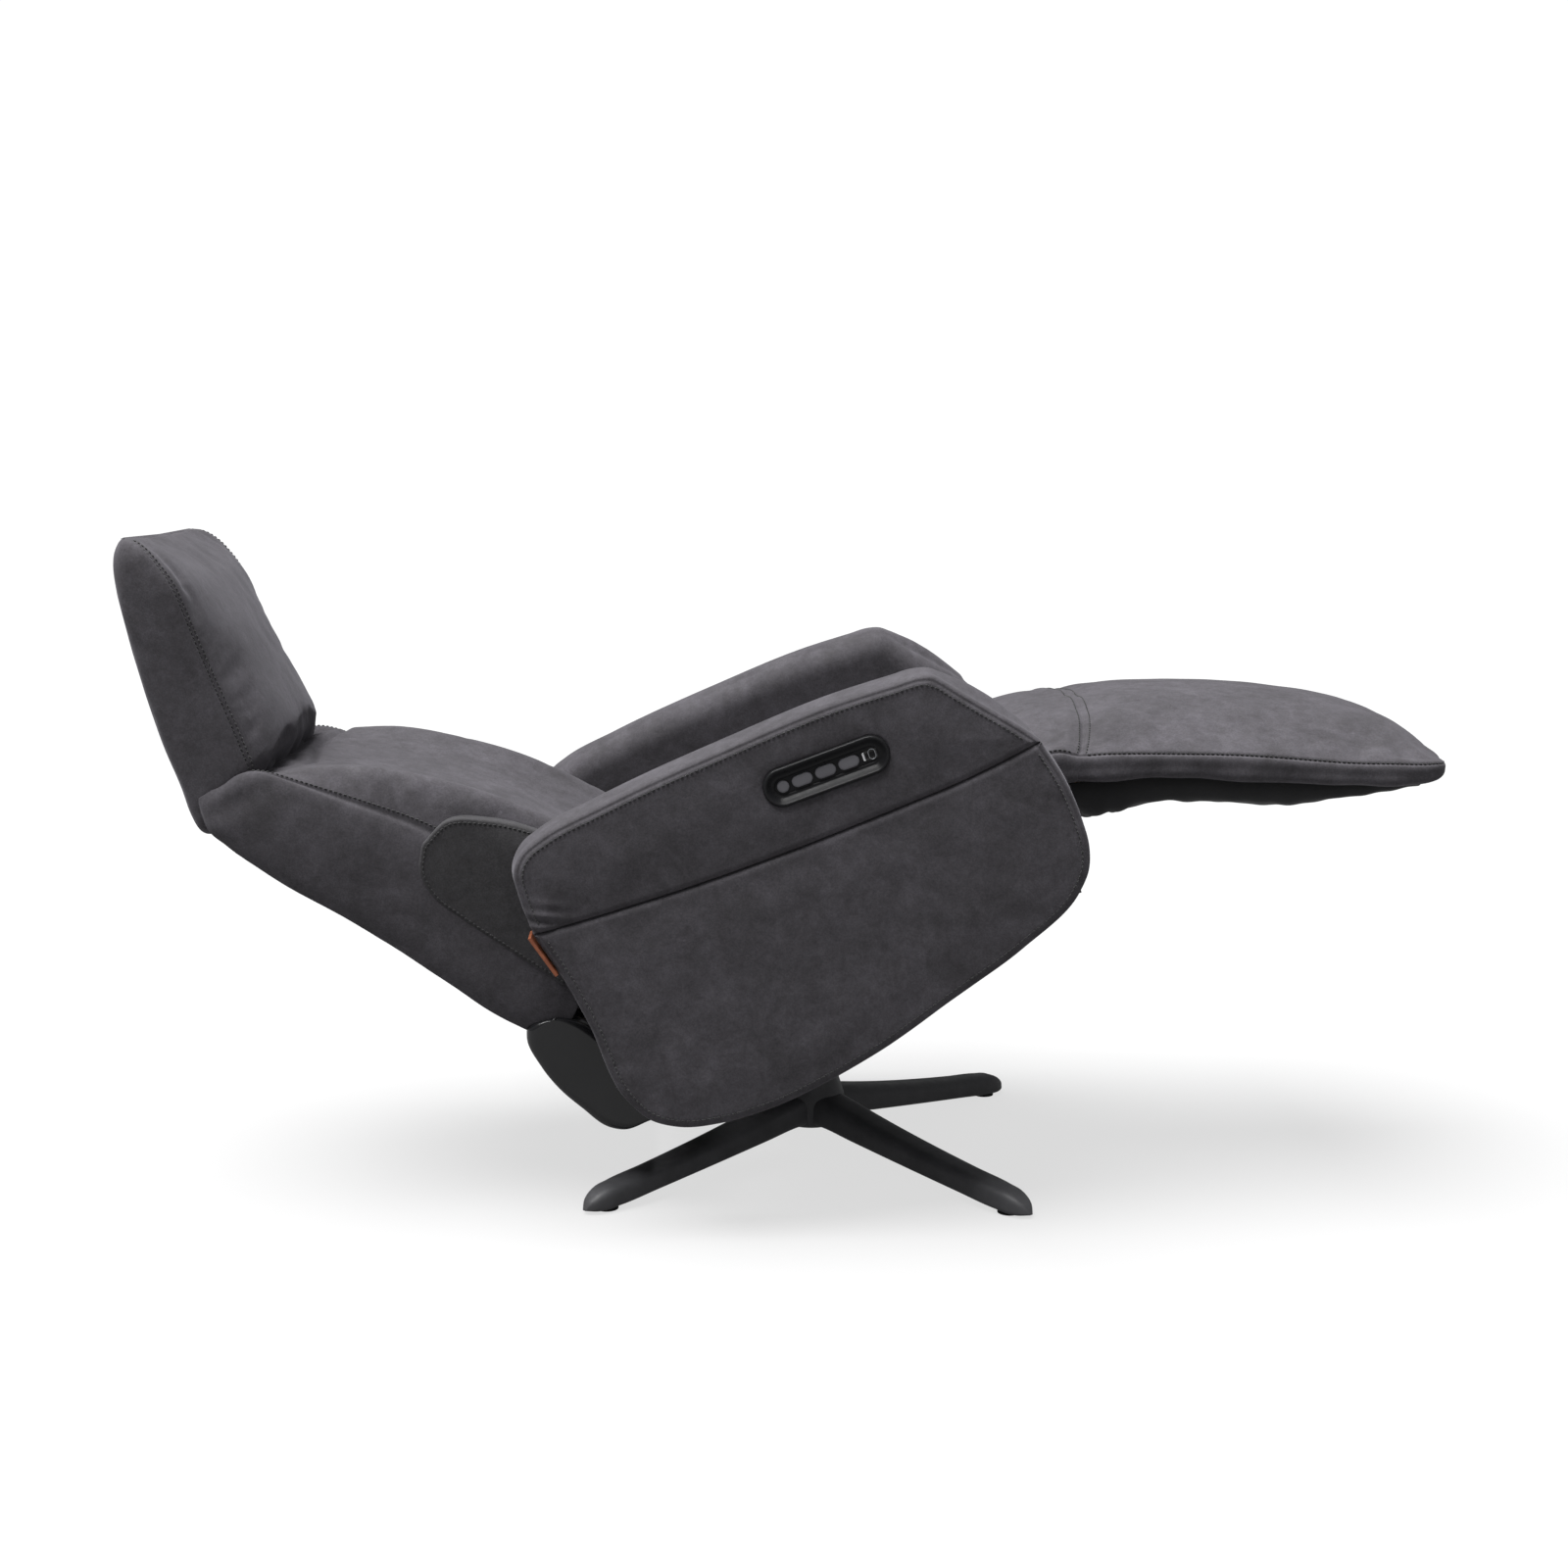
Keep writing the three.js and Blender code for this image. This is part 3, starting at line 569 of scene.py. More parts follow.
TAN = leather("cognac_leather", (0.155, 0.040, 0.014), (0.275, 0.082, 0.032))

SLOT_MATERIALS = {
    "upholstery": NUBUCK, "dark_upholstery": LINING, "gloss_black_plastic": GLOSS_BLACK,
    "button_plastic": BUTTON_GREY, "powder_black": BASE_BLACK, "frame_steel": FRAME_BLACK,
    "bright_steel": STEEL, "plywood": PLY, "nylon": NYLON, "rubber": RUBBER,
    "tan_leather": TAN,
}


def finish_cad_nodes():
    """Gives every carried-over node the material of its slot."""
    for row in frame["record"]["subparts"]:
        node = frame["nodes"][row["node"]]
        node.data.materials.clear()
        node.data.materials.append(SLOT_MATERIALS[row["material_slot"]])


# ---- camera, light and floor -----------------------------------------------------------
CAMERA_AT = (-127 * MM, -2740 * MM, 900 * MM)
CAMERA_DOWN = 8.57               # degrees below level
CAMERA_TURN = 2.77               # degrees towards the front of the chair
LENS = 49.28
AMBIENT = 0.22
OVERHEAD = 8.3
FILL = 9
FLOOR_GLOW, FLOOR_BOUNCE = 0.68, 0.12    # as seen, and as it lights the chair
FLOOR_HALF = 14.0


def make_stage():
    """A white floor, a white surround and soft light from overhead."""
    scene = bpy.context.scene
    camera = bpy.data.objects.new("camera", bpy.data.cameras.new("camera"))
    camera.data.lens = LENS
    camera.data.sensor_width = 36
    camera.data.clip_end = 60
    camera.location = CAMERA_AT
    camera.rotation_euler = (math.radians(90 - CAMERA_DOWN), 0, -math.radians(CAMERA_TURN))
    scene.collection.objects.link(camera)
    scene.camera = camera
    scene.view_settings.view_transform = "Standard"

    world = bpy.data.worlds.new("studio")
    scene.world = world
    world.use_nodes = True
    nodes, links = world.node_tree.nodes, world.node_tree.links
    dim, white = nodes["Background"], nodes.new("ShaderNodeBackground")
    dim.inputs["Color"].default_value = (0.97, 0.98, 1, 1)
    dim.inputs["Strength"].default_value = AMBIENT
    white.inputs["Strength"].default_value = 1.05
    white.inputs["Color"].default_value = (1, 1, 1, 1)
    seen, blend = nodes.new("ShaderNodeLightPath"), nodes.new("ShaderNodeMixShader")
    links.new(seen.outputs["Is Camera Ray"], blend.inputs[0])
    links.new(dim.outputs[0], blend.inputs[1])
    links.new(white.outputs[0], blend.inputs[2])
    links.new(blend.outputs[0], nodes["World Output"].inputs["Surface"])

    floor_finish = new_material("floor", (0.14, 0.14, 0.14), 0.8, Specular_IOR_Level=0.1,
                                Emission_Color=(1, 1, 1, 1))
    nodes, links = floor_finish.node_tree.nodes, floor_finish.node_tree.links
    seen, glow = nodes.new("ShaderNodeLightPath"), nodes.new("ShaderNodeMapRange")
    glow.inputs["To Min"].default_value = FLOOR_BOUNCE
    glow.inputs["To Max"].default_value = FLOOR_GLOW
    links.new(seen.outputs["Is Camera Ray"], glow.inputs["Value"])
    links.new(glow.outputs["Result"], nodes["Principled BSDF"].inputs["Emission Strength"])
    half = FLOOR_HALF
    floor = build("floor", [(-half, -half, 0), (half, -half, 0), (half, half, 0),
                            (-half, half, 0)], [np.array([[0, 1, 2, 3]])], [], floor_finish)

    overhead = bpy.data.objects.new("overhead_light", bpy.data.lights.new("overhead", "SUN"))
    overhead.data.energy = OVERHEAD
    overhead.data.angle = math.radians(50)
    overhead.rotation_euler = (math.radians(3), math.radians(-16), 0)
    scene.collection.objects.link(overhead)
    fill = bpy.data.objects.new("front_fill", bpy.data.lights.new("front_fill", "AREA"))
    fill.data.shape = "RECTANGLE"
    fill.data.size, fill.data.size_y = 2.6, 1.6
    fill.data.energy = FILL
    fill.location = (0.9, -3.6, 2.4)
    aim = Vector((0, 0, 0.4)) - fill.location
    fill.rotation_euler = aim.to_track_quat("-Z", "Y").to_euler()
    scene.collection.objects.link(fill)


# ---- arms ------------------------------------------------------------------------------
ARM_EDGE = 11.0                  # radius of the arm's soft outer edges
GROOVE_EDGE = 8.0                # radius of the pads along the groove between them
ARM_INSET = 11.0                 # stitching inside an arm's rim
GROOVE = [(-330, 223), (-219, 216), (-90, 212), (87, 215), (207, 221), (285, 231)]
CROWN = [(-331, 227), (-331, 270), (-326, 300), (-310, 317), (-286, 326), (-210, 337),
         (-46, 350), (87, 355), (152, 352), (182, 350), (194, 346), (203, 337), (215, 322),
         (243, 288), (268, 258), (286, 234)]
UNDER = [(-331, 220), (-318, 163), (-310, 105), (-300, 0), (-284, -29), (-258, -48),
         (-208, -62), (-155, -66), (-55, -56), (-4, -46), (95, -18), (190, 10), (271, 48),
         (291, 71), (300, 97), (302, 126), (298, 182), (287, 228)]
PANEL_X, PANEL_Z = 46.0, 285.0   # middle of the control panel
PANEL_HALF, PANEL_R = 74.0, 21.5
PANEL_FLOOR = 331                # how far out the cover reaches under the panel


def smooth_step(t):
    """0 below 0, 1 above 1, with level ends between."""
    t = np.clip(t, 0, 1)
    return t * t * (3 - 2 * t)


def round_edge(d, radius):
    """How far a padded face falls back from its plane at distance d from its edge."""
    inside = 1 - np.clip(d / radius, 0, 1)
    return radius * (1 - np.sqrt(np.maximum(1 - inside ** 2, 0)))


def slot_distance(points):
    """Signed distance to the control panel's long round-ended outline, minus inside it."""
    x = np.maximum(np.abs(points[..., 0] - PANEL_X) - (PANEL_HALF - PANEL_R), 0)
    return np.hypot(x, points[..., 1] - PANEL_Z) - PANEL_R


def arm_lines(upper):
    """The two edges, rear to front, that a pad of the arm lies between."""
    rows = spread(250, near=(0, 1), tight=0.02, extra=2.5)
    return (edge_line(keys, rows) for keys in ((GROOVE, CROWN) if upper else (UNDER, GROOVE)))


def arm_face(points, rim, groove, side, upper):
    """Height of the outer face over its plane: rounded at its rim and more tightly at the
    groove, plumped between, with the valley of the seam that follows the rim, and let in
    around the control panel on the right arm."""
    to_rim, to_groove = distance(points, rim), distance(points, groove)
    x, z = points[..., 0], points[..., 1]
    plump = 3.0 * smooth_step(np.minimum(to_rim, to_groove) / 60)
    plump += 0.8 * ripple(x, z, 3 if upper else 5)
    fall = np.maximum(round_edge(to_rim, ARM_EDGE), round_edge(to_groove, GROOVE_EDGE))
    y = ARM_FACE - fall + plump - 2.0
    y += dent(to_rim - 6.5, 2.0, 1.6)
    if upper:
        # Small gathers where the groove ends at the rear of the arm.
        rear = np.exp(-((x + 318) / 26) ** 2 - ((z - 236) / 16) ** 2)
        y += 2.2 * rear * np.sin((x * 0.55 + z * 1.1) * 0.35)
    if side < 0 and upper:
        s = slot_distance(points)
        y -= 2.5 * np.exp(-np.maximum(s, 0) / 11)
        y = y + (PANEL_FLOOR - y) * smooth_step(-s / 4.5)
    return y


def arm_pad(side, upper):
    """A padded half of one arm: a ruled grid between its two edges gives the outer and the
    inner face, and a strip crowned towards the seat joins them round the outside."""
    low, high = arm_lines(upper)
    v = spread(62, near=(0, 1), tight=0.09, extra=1.6)
    flat = ruled(low, high, v)
    rim, groove = (high, low) if upper else (low, high)
    outer = arm_face(flat, rim, groove, side, upper)
    back = ruled(low, high, v[::2])
    d = distance(back, rim)
    inner = ARM_INNER + round_edge(d, 34) - 2.0 * smooth_step(d / 70)
    loops = [np.dstack([flat[..., 0], outer, flat[..., 1]])]
    for edge, first, last, bulge in ((high, outer[:, -1], inner[:, -1], 4.0 * upper),
                                     (low, outer[:, 0], inner[:, 0], 3.5 * (not upper))):
        tangent = unit(np.gradient(edge, axis=0))
        normal = np.stack([-tangent[:, 1], tangent[:, 0]], -1) * (1 if edge is high else -1)
        t = np.linspace(0, 1, 20)[1:-1]
        ends = smooth_step(np.minimum(np.linspace(0, 1, len(edge)),
                                      np.linspace(1, 0, len(edge))) / 0.05)
        slope = smooth_step((edge[:, 0] - 190) / 40) * smooth_step((288 - edge[:, 0]) / 50)
        slope = slope * (edge is high) * upper
        rise = (bulge + 7 * slope[:, None]) * np.sin(math.pi * t ** 1.5)[None, :] * ends[:, None]
        y = first[:, None] + (last - first)[:, None] * t
        xz = edge[:, None] + normal[:, None] * rise[..., None]
        loops.append(np.dstack([xz[..., 0], y, xz[..., 1]]))
    top, bottom = loops[1], loops[2]
    faces = np.dstack([back[..., 0], inner, back[..., 1]])
    grid = np.concatenate([loops[0], top, faces[:, ::-1], bottom[:, ::-1]], 1)
    grid[..., 1] *= side
    return grid, rim, groove


def inset_line(outline, inset):
    """A closed line at a steady inset inside a flat outline."""
    closed = path(outline[:-1:6], 1600, closed=True)
    tangent = unit(np.roll(closed, -1, 0) - np.roll(closed, 1, 0))
    spin = np.sign(np.sum(closed[:, 0] * np.roll(closed[:, 1], -1)
                          - closed[:, 1] * np.roll(closed[:, 0], -1)))
    line = closed + np.stack([-tangent[:, 1], tangent[:, 0]], -1) * spin * inset
    return line[distance(line, np.vstack([closed, closed[:1]])) > inset - 0.6]


def lay_on(line, height, side, body_frame):
    """Points over a flat line on the face whose height is given, a hair proud, with the
    normals there; side is the half of the chair that the face is on."""
    y = height(line)
    dx = (height(line + (1, 0)) - height(line - (1, 0))) / 2
    dz = (height(line + (0, 1)) - height(line - (0, 1))) / 2
    n = unit(np.stack([-dx, np.ones(len(line)), -dz], -1))
    points = np.stack([line[:, 0], y, line[:, 1]], -1) + n * THREAD_PROUD
    mirror = np.array([1, side, 1])
    return to_chair(points * mirror, n * mirror, body_frame)


def to_chair(points, directions, body_frame):
    """Points and directions of a body's upright frame, in the chair's frame."""
    roots, tips = placed(points, body_frame), placed(points + directions, body_frame)
    return roots, (tips - roots) / MM


def make_arms():
    """Both arms: upper and lower pads with a deep groove between, and their topstitching."""
    for side, word in ((-1, "right"), (1, "left")):
        lines = []
        for upper in (True, False):
            grid, rim, groove = arm_pad(side, upper)
            level = "upper" if upper else "lower"
            pad = mesh_piece(f"arm_{level}_cushion_{word}", placed(grid, SEAT), NUBUCK)
            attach(pad, "seat_body")
            nodes = [f"arm_{level}_pad_{word}"]
            if not upper:
                nodes.append(f"arm_inner_pad_{word}")
            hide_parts(*nodes)
            line = inset_line(np.vstack([rim, groove[::-1], rim[:1]]), ARM_INSET)
            line = line[distance(line, rim) < ARM_INSET + 0.5]
            face = lambda p: arm_face(p, rim, groove, side, upper)
            lines += runs(*lay_on(line, face, side, SEAT))
        thread = stitches(f"arm_stitching_{word}", lines, THREAD)
        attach(thread, "seat_body")


def runs(points, n):
    """A line broken wherever neighbouring points lie more than 12 mm apart."""
    breaks = np.flatnonzero(np.linalg.norm(np.diff(points, axis=0), axis=1) > 12 * MM) + 1
    return [(p, m) for p, m in zip(np.split(points, breaks), np.split(n, breaks)) if len(p) > 8]


# ---- lofted cushions -------------------------------------------------------------------
def ring_weights(keys, cols, near):
    """Smooth shares of the half ring's key points at each column, mirrored to a full ring:
    returns the shares, the side (plus or minus one) and the key place of every column."""
    half = spread(cols, 0, keys - 1, near=near, tight=0.16, extra=2.0)
    share = weights(half, np.arange(keys))
    full = np.vstack([share, share[-2:0:-1]])
    side = np.r_[np.ones(cols), -np.ones(cols - 2)]
    return full, side, half


def half_ring(keys):
    """Key points of every station, each a tuple of (a, b, width) arrays, as one array."""
    return np.stack([np.stack(key, -1) for key in keys], 1)


def lofted(table, rows, ring, cols, near_rows, near_cols):
    """A closed cushion lofted along its length. The table gives, at each key station, the
    (a, b) points that the ring function turns into a half ring of (a, b, width) points."""
    table = np.asarray(table, float)
    keys = len(table)
    t = spread(rows, 0, keys - 1, near=near_rows, tight=0.02 * keys, extra=2.5)
    stations = np.stack([curve(t, np.arange(keys), column) for column in table.T], -1)
    half = ring(stations)
    share, side, columns = ring_weights(half.shape[1], cols, near_cols)
    grid = np.einsum("ck,rkd->rcd", share, half)
    return grid, side, t, columns


SEAM_DEPTH = 2.2                 # depth of the valley along a sewn seam
SEAM_COLUMN = 4


def seat_points():
    """Key stations of the seat and leg rest from the seat's rear to the leg rest's tip:
    side seam, crest and underside as (x, z) of the chair, and the half width."""
    seat = [((-165, 158), (-165, 168), (-165, 106), 243), ((0, 162), (0, 178), (0, 104), 243),
            ((110, 172), (110, 202), (110, 104), 243), ((200, 185), (205, 226), (215, 106), 243),
            ((265, 195), (272, 238), (272, 128), 242), ((310, 194), (330, 235), (298, 152), 240)]
    leg = [((22, 42), (46, 93), (20, 10), 238), ((60, 46), (90, 99), (60, 13), 240),
           ((134, 49.5), (160, 106), (134, 21), 240), ((228, 51.4), (240, 110), (228, 20), 240),
           ((341, 48.3), (335, 107), (330, 21), 240), ((396, 49.5), (396, 98.5), (394, 22), 240),
           ((432, 50), (437, 88), (430, 24), 237), ((455, 51), (463, 75), (453, 28), 231),
           ((468, 51), (474, 64), (466, 34), 221), ((472, 49), (477, 53), (472, 43), 208)]
    rows = []
    for keys, body_frame in ((seat, SEAT), (leg, LEG)):
        for *pairs, half in keys:
            flat = np.array([(a, 0, b) for a, b in pairs], float)
            xz = placed(flat, body_frame)[:, [0, 2]] / MM
            rows.append([*xz.ravel(), half])
    return rows


def seat_ring(s):
    """Half ring of the seat: crest, crowned top, side seam, narrow border and underside."""
    ex, ez, cx, cz, bx, bz, w = s.T
    zero = 0 * w
    rise = lambda k: (cx + (ex - cx) * k, cz + (ez - cz) * k)
    top = [(*rise(0), zero)]
    for y, fall in ((0.34, 0.07), (0.66, 0.34), (0.88, 0.70)):
        top.append((*rise(fall), w * y))
    border = lambda k, out: (ex + (bx - ex) * k, ez + (bz - ez) * k, w + out)
    lower = [(*rise(1.0), w), border(0.5, 3.5), border(1.0, -3),
             (bx, bz - 2, w * 0.8), (bx, bz - 3, zero)]
    return half_ring(top + lower)


def along_cover(points, t, columns, column, first, last, count, sign):
    """A line along a lofted cover at a steady column, from one key station to another, on
    the side that the sign gives."""
    rows = np.interp((first, last), t, np.arange(len(t)))
    place = sign * np.interp(column, columns, np.arange(len(columns)))
    return on_surface(points, np.linspace(*rows, count), np.full(count, place) % points.shape[1])


def mirrored(columns):
    """Column numbers of a full ring from those of its half."""
    return np.r_[columns, columns[-2:0:-1]][None, :]


def facing_out(points):
    """Unit normals of a ring grid that point away from its middle line."""
    up = normals(points)
    spine = points.mean(1, keepdims=True)
    inward = ((points - spine) * up).sum(-1).mean() < 0
    return -up if inward else up


def xz_grid(grid, side):
    """(a, b, width) rings as points of the chair, in metres."""
    return np.stack([grid[..., 0], grid[..., 2] * side, grid[..., 1]], -1) * MM


def make_seat():
    """Seat cushion and leg rest: one cover that folds at the knee, where two rows of
    stitching cross it, with a narrow border whose hem waves a little."""
    grid, side, t, columns = lofted(seat_points(), 330, seat_ring, 84,
                                    near_rows=(6.1, 14.3), near_cols=(SEAM_COLUMN,))
    points = xz_grid(grid, side)
    up = facing_out(points)
    seam = mirrored(columns) - SEAM_COLUMN
    top = smooth_step(-seam / 0.35)
    x, y = points[..., 0] / MM, points[..., 1] / MM
    lift = top * (1.4 * ripple(x, y, 21, low=0.015, high=0.05) + 0.5 * ripple(x, y, 22))
    lift += dent(seam, 0.09, SEAM_DEPTH)
    knee = (t[:, None] - 6.0) * 42
    lift += top * (dent(knee, 4.0, 3.2) + dent(knee - 9, 3.0, 1.2))
    pull = np.sin(y / 13 + 0.8 * np.sin(y / 31))
    lift += top * 0.9 * pull * np.exp(-(knee / 16) ** 2)
    hem = np.exp(-((seam - 1.6) / 0.7) ** 2) * (t[:, None] > 6)
    lift += hem * 1.5 * np.sin(x / 14 + np.sin(x / 37))
    points = points + up * lift[..., None] * MM
    cover = mesh_piece("seat_and_legrest_cover", points, NUBUCK)
    free = top * (1 - np.exp(-(knee / 14) ** 2)) * smooth_step((15 - t[:, None]) / 0.8)
    settle(cover, points, held_share(free, seam), pressure=1.2)
    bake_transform(cover)
    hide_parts("seat_cushion", "legrest_pad")

    lines = []
    reach = np.interp(3.85, columns, np.arange(len(columns)))
    for station in (5.88, 6.20):
        row = np.full(400, np.interp(station, t, np.arange(len(t))))
        lines.append(on_surface(points, row, np.linspace(-reach, reach, 400) % points.shape[1]))
    for sign in (1, -1):
        lines.append(along_cover(points, t, columns, 3.93, 6.25, 14.6, 500, sign))
        lines.append(along_cover(points, t, columns, 3.86, 0.5, 5.8, 400, sign))
    centre = points.reshape(-1, 3).mean(0)
    lines = [outward(line, (centre[0], 0, centre[2] - 0.05)) for line in lines]
    thread = stitches("seat_stitching", lines, THREAD)
    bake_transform(thread)


def make_under_cover():
    """Black lining under the leg rest, sagging in soft folds between its fixings."""
    low = path([(10, -26), (30, -38), (54, -42), (67, -37), (80, -39), (94, -31), (109, -25),
                (149, -19), (220, -17), (284, -18), (336, -7), (400, 6), (443, 16)], 150)
    high = path([(10, 4), (120, 18), (250, 22), (360, 25), (420, 32), (443, 38)], 150)
    c = np.linspace(0, math.pi, 90)
    y = -np.cos(c) * 217
    sag = np.sin(c) ** 0.16
    under = high[:, None, 1] + (low - high)[:, None, 1] * sag
    x = low[:, None, 0] + (high - low)[:, None, 0] * (1 - sag)
    folds = ripple(x * 1.6, y[None] * 1.2, 9, low=0.03, high=0.10)
    under += sag * (3.0 * folds + 2.2 * np.sin((x + 0.35 * y) / 9) * np.exp(-(x - 60) / 60))
    lower = np.dstack([x, 0 * x + y, under])
    upper = np.dstack([high[:, None, 0] + 0 * y, 0 * x + y, high[:, None, 1] + 0 * y])
    grid = np.concatenate([lower, upper[:, ::-1][:, 1:-1]], 1)
    cover = mesh_piece("legrest_lining", placed(grid, LEG), LINING)
    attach(cover, "leg_rest")
    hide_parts("legrest_under_cover")


# ---- backrest --------------------------------------------------------------------------
BACK_TABLE = [  # front crest (q, p), side seam (q, p), rear (q, p), dip of the middle, half width
    (100, 42, 26, 40, -126, 24, 26, 228), (99, 90, 24, 90, -133, 70, 30, 231),
    (96, 145, 22, 145, -135, 130, 31, 232), (83, 241, 18, 235, -131, 205, 31, 232),
    (61, 321, 14, 305, -128, 300, 29, 232), (28, 402, -2, 385, -131, 385, 25, 232),
    (-11, 461, -15, 445, -130, 450, 12, 230), (-34, 488, -25, 484, -127, 490, 5, 226),
    (-50, 505, -38, 508, -119, 522, 2, 220), (-64, 514, -62, 522, -102, 541, 0, 209)]
BACK_SEAM = 4


def back_ring(s):
    """Half ring of the backrest: hollow middle, side bolster, seam, side and rear."""
    cq, cp, sq, sp, rq, rp, dip, w = s.T
    zero = 0 * w
    side = lambda k, out: (sq + (rq - sq) * k, sp + (rp - sp) * k, w + out)
    keys = [(cq - dip, cp, zero), (cq - dip * 0.86, cp, w * 0.36), (cq - dip * 0.30, cp, w * 0.66),
            (cq - 1, cp, w * 0.85), (sq, sp, w * 0.97), side(0.25, 2.0), side(0.65, 3.0),
            side(0.94, -5.0), (rq, rp, w * 0.84), (rq - 3, rp, zero)]
    return half_ring(keys)


def upright(grid, side, body_frame):
    """(q, p, width) rings of an upright body frame as points of the chair, in metres."""
    return placed(np.stack([grid[..., 0], grid[..., 2] * side, grid[..., 1]], -1), body_frame)


def make_back():
    """Backrest cushion: side bolsters either side of a hollow middle, gathered at the neck."""
    grid, side, t, columns = lofted(BACK_TABLE, 260, back_ring, 92, near_rows=(7.6,),
                                    near_cols=(BACK_SEAM,))
    points = upright(grid, side, BACK)
    up = facing_out(points)
    cols = mirrored(columns)
    seam = cols - BACK_SEAM
    front = smooth_step(-seam / 0.4)
    p, y = grid[..., 1], grid[..., 2] * side
    lift = 1.3 * ripple(p, y + 40 * cols, 31, low=0.012, high=0.05)
    lift += 0.5 * ripple(p, y + 40 * cols, 32)
    lift += dent(seam, 0.09, SEAM_DEPTH)
    neck = smooth_step((t[:, None] - 5.9) / 2.2)
    folds = np.sin(p / 7.5 + 1.6 * np.sin(y / 46) + 0.6 * np.sin(y / 17))
    lift += front * neck * 2.0 * folds * (0.55 + 0.45 * np.cos(y / 60))
    roll = front * smooth_step((y + 150) / 60)
    lift += roll * (dent(p - 464 - 7 * np.sin(y / 52), 4.5, 6)
                    + 1.5 * np.exp(-((p - 484) / 13) ** 2))
    lift += (1 - front) * neck * 1.6 * np.sin(p / 9 + grid[..., 0] / 12)
    points = points + up * lift[..., None] * MM
    cushion = mesh_piece("backrest_cushion", points, NUBUCK)
    ends = smooth_step((9 - t[:, None]) / 0.8) * smooth_step(t[:, None] / 0.5)
    free = np.maximum(front, 0.4) * ends
    settle(cushion, points, held_share(free, seam))
    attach(cushion, "backrest")
    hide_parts("back_cushion", "back_rear_pad", "back_side_pad_left",
                "back_side_pad_right")
    middle = points.reshape(-1, 3).mean(0)
    lines = [outward(along_cover(points, t, columns, 3.86, 0.4, 7.9, 500, sign), middle)
             for sign in (1, -1)]
    thread = stitches("backrest_stitching", lines, THREAD)
    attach(thread, "backrest")


WING_FACE, WING_SEAT = 237, 214  # outer face of a wing, and the side it is sewn to
WING_INSET = 5.0                 # stitching inside a wing's edge
WING_REAR = [(-58, 60), (-56, 133), (-53, 204), (-48, 246), (-30, 275), (-4, 288)]
WING_FRONT = [(106, 60), (99, 110), (88, 166), (66, 238), (38, 280), (2, 289)]


def wing_face(points, outline):
    """Height of a wing's face: let in at its sewn edge and drawn in towards the front."""
    d = distance(points, outline)
    forward = smooth_step((points[..., 0] - 40) / 60)
    x, z = points[..., 0], points[..., 1]
    plump = 1.5 * smooth_step(d / 50) + 0.6 * ripple(x, z, 7)
    return WING_FACE - round_edge(d, 3.5) + plump - 13 * forward ** 2


def make_wings():
    """Smooth side wings of the backrest: a rounded tab of plain cloth sewn on each side."""
    rows = spread(140, near=(1,), tight=0.06, extra=4)
    rear, front = edge_line(WING_REAR, rows), edge_line(WING_FRONT, rows)
    v = spread(60, near=(0, 1), tight=0.08, extra=2)
    flat = ruled(rear, front, v)
    outline = np.vstack([rear, front[::-1]])
    outer = wing_face(flat, outline)
    inner = 0 * outer + WING_SEAT
    for side, word in ((-1, "right"), (1, "left")):
        a = np.dstack([flat[..., 0], outer * side, flat[..., 1]])
        b = np.dstack([flat[..., 0], inner * side, flat[..., 1]])[:, ::-1]
        grid = placed(np.concatenate([a, b], 1), BACK)
        wing = mesh_piece(f"backrest_wing_{word}", grid, SMOOTH_SIDE)
        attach(wing, "backrest")
        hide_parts(f"back_wing_{word}")
        sewn = lay_on(inset_line(outline, WING_INSET), lambda p: wing_face(p, outline), side, BACK)
        thread = stitches(f"wing_stitching_{word}", runs(*sewn), THREAD)
        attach(thread, "backrest")


# ---- headrest --------------------------------------------------------------------------
HEAD_TABLE = [  # front middle (q, p), side seam (q, p), rear (q, p), half width
    (60, 6, 42, 2, 0, -37, 190), (90, 24, 62, 14, -14, -24, 207), (104, 38, 70, 30, -19, 0, 212),
    (106, 64, 70, 54, -19, 34, 213), (95, 130, 67, 118, -21, 105, 212),
    (82, 200, 62.5, 190, -17, 195, 211), (66, 260, 59, 256, -12, 250, 210),
    (51, 296, 50, 291, -6, 290, 206), (40, 312, 41, 310, 1, 311, 201),
    (29, 322, 30, 322, 10, 323, 194), (19, 327, 19, 327, 17, 328, 184)]
HEAD_SEAM = 3


def head_ring(s):
    """Half ring of the head pillow: soft front, side seam near the front, round back."""
    cq, cp, sq, sp, rq, rp, w = s.T
    zero = 0 * w
    side = lambda k, out: (sq + (rq - sq) * k, sp + (rp - sp) * k, w + out)
    keys = [(cq, cp, zero), (cq - (cq - sq) * 0.10, cp, w * 0.42),
            (cq - (cq - sq) * 0.42, (cp + sp) / 2, w * 0.78), (sq, sp, w * 0.965),
            side(0.35, 1.0), side(0.74, -2.0), side(0.95, -14.0), (rq, rp, w * 0.76),
            (rq, rp, zero)]
    return half_ring(keys)


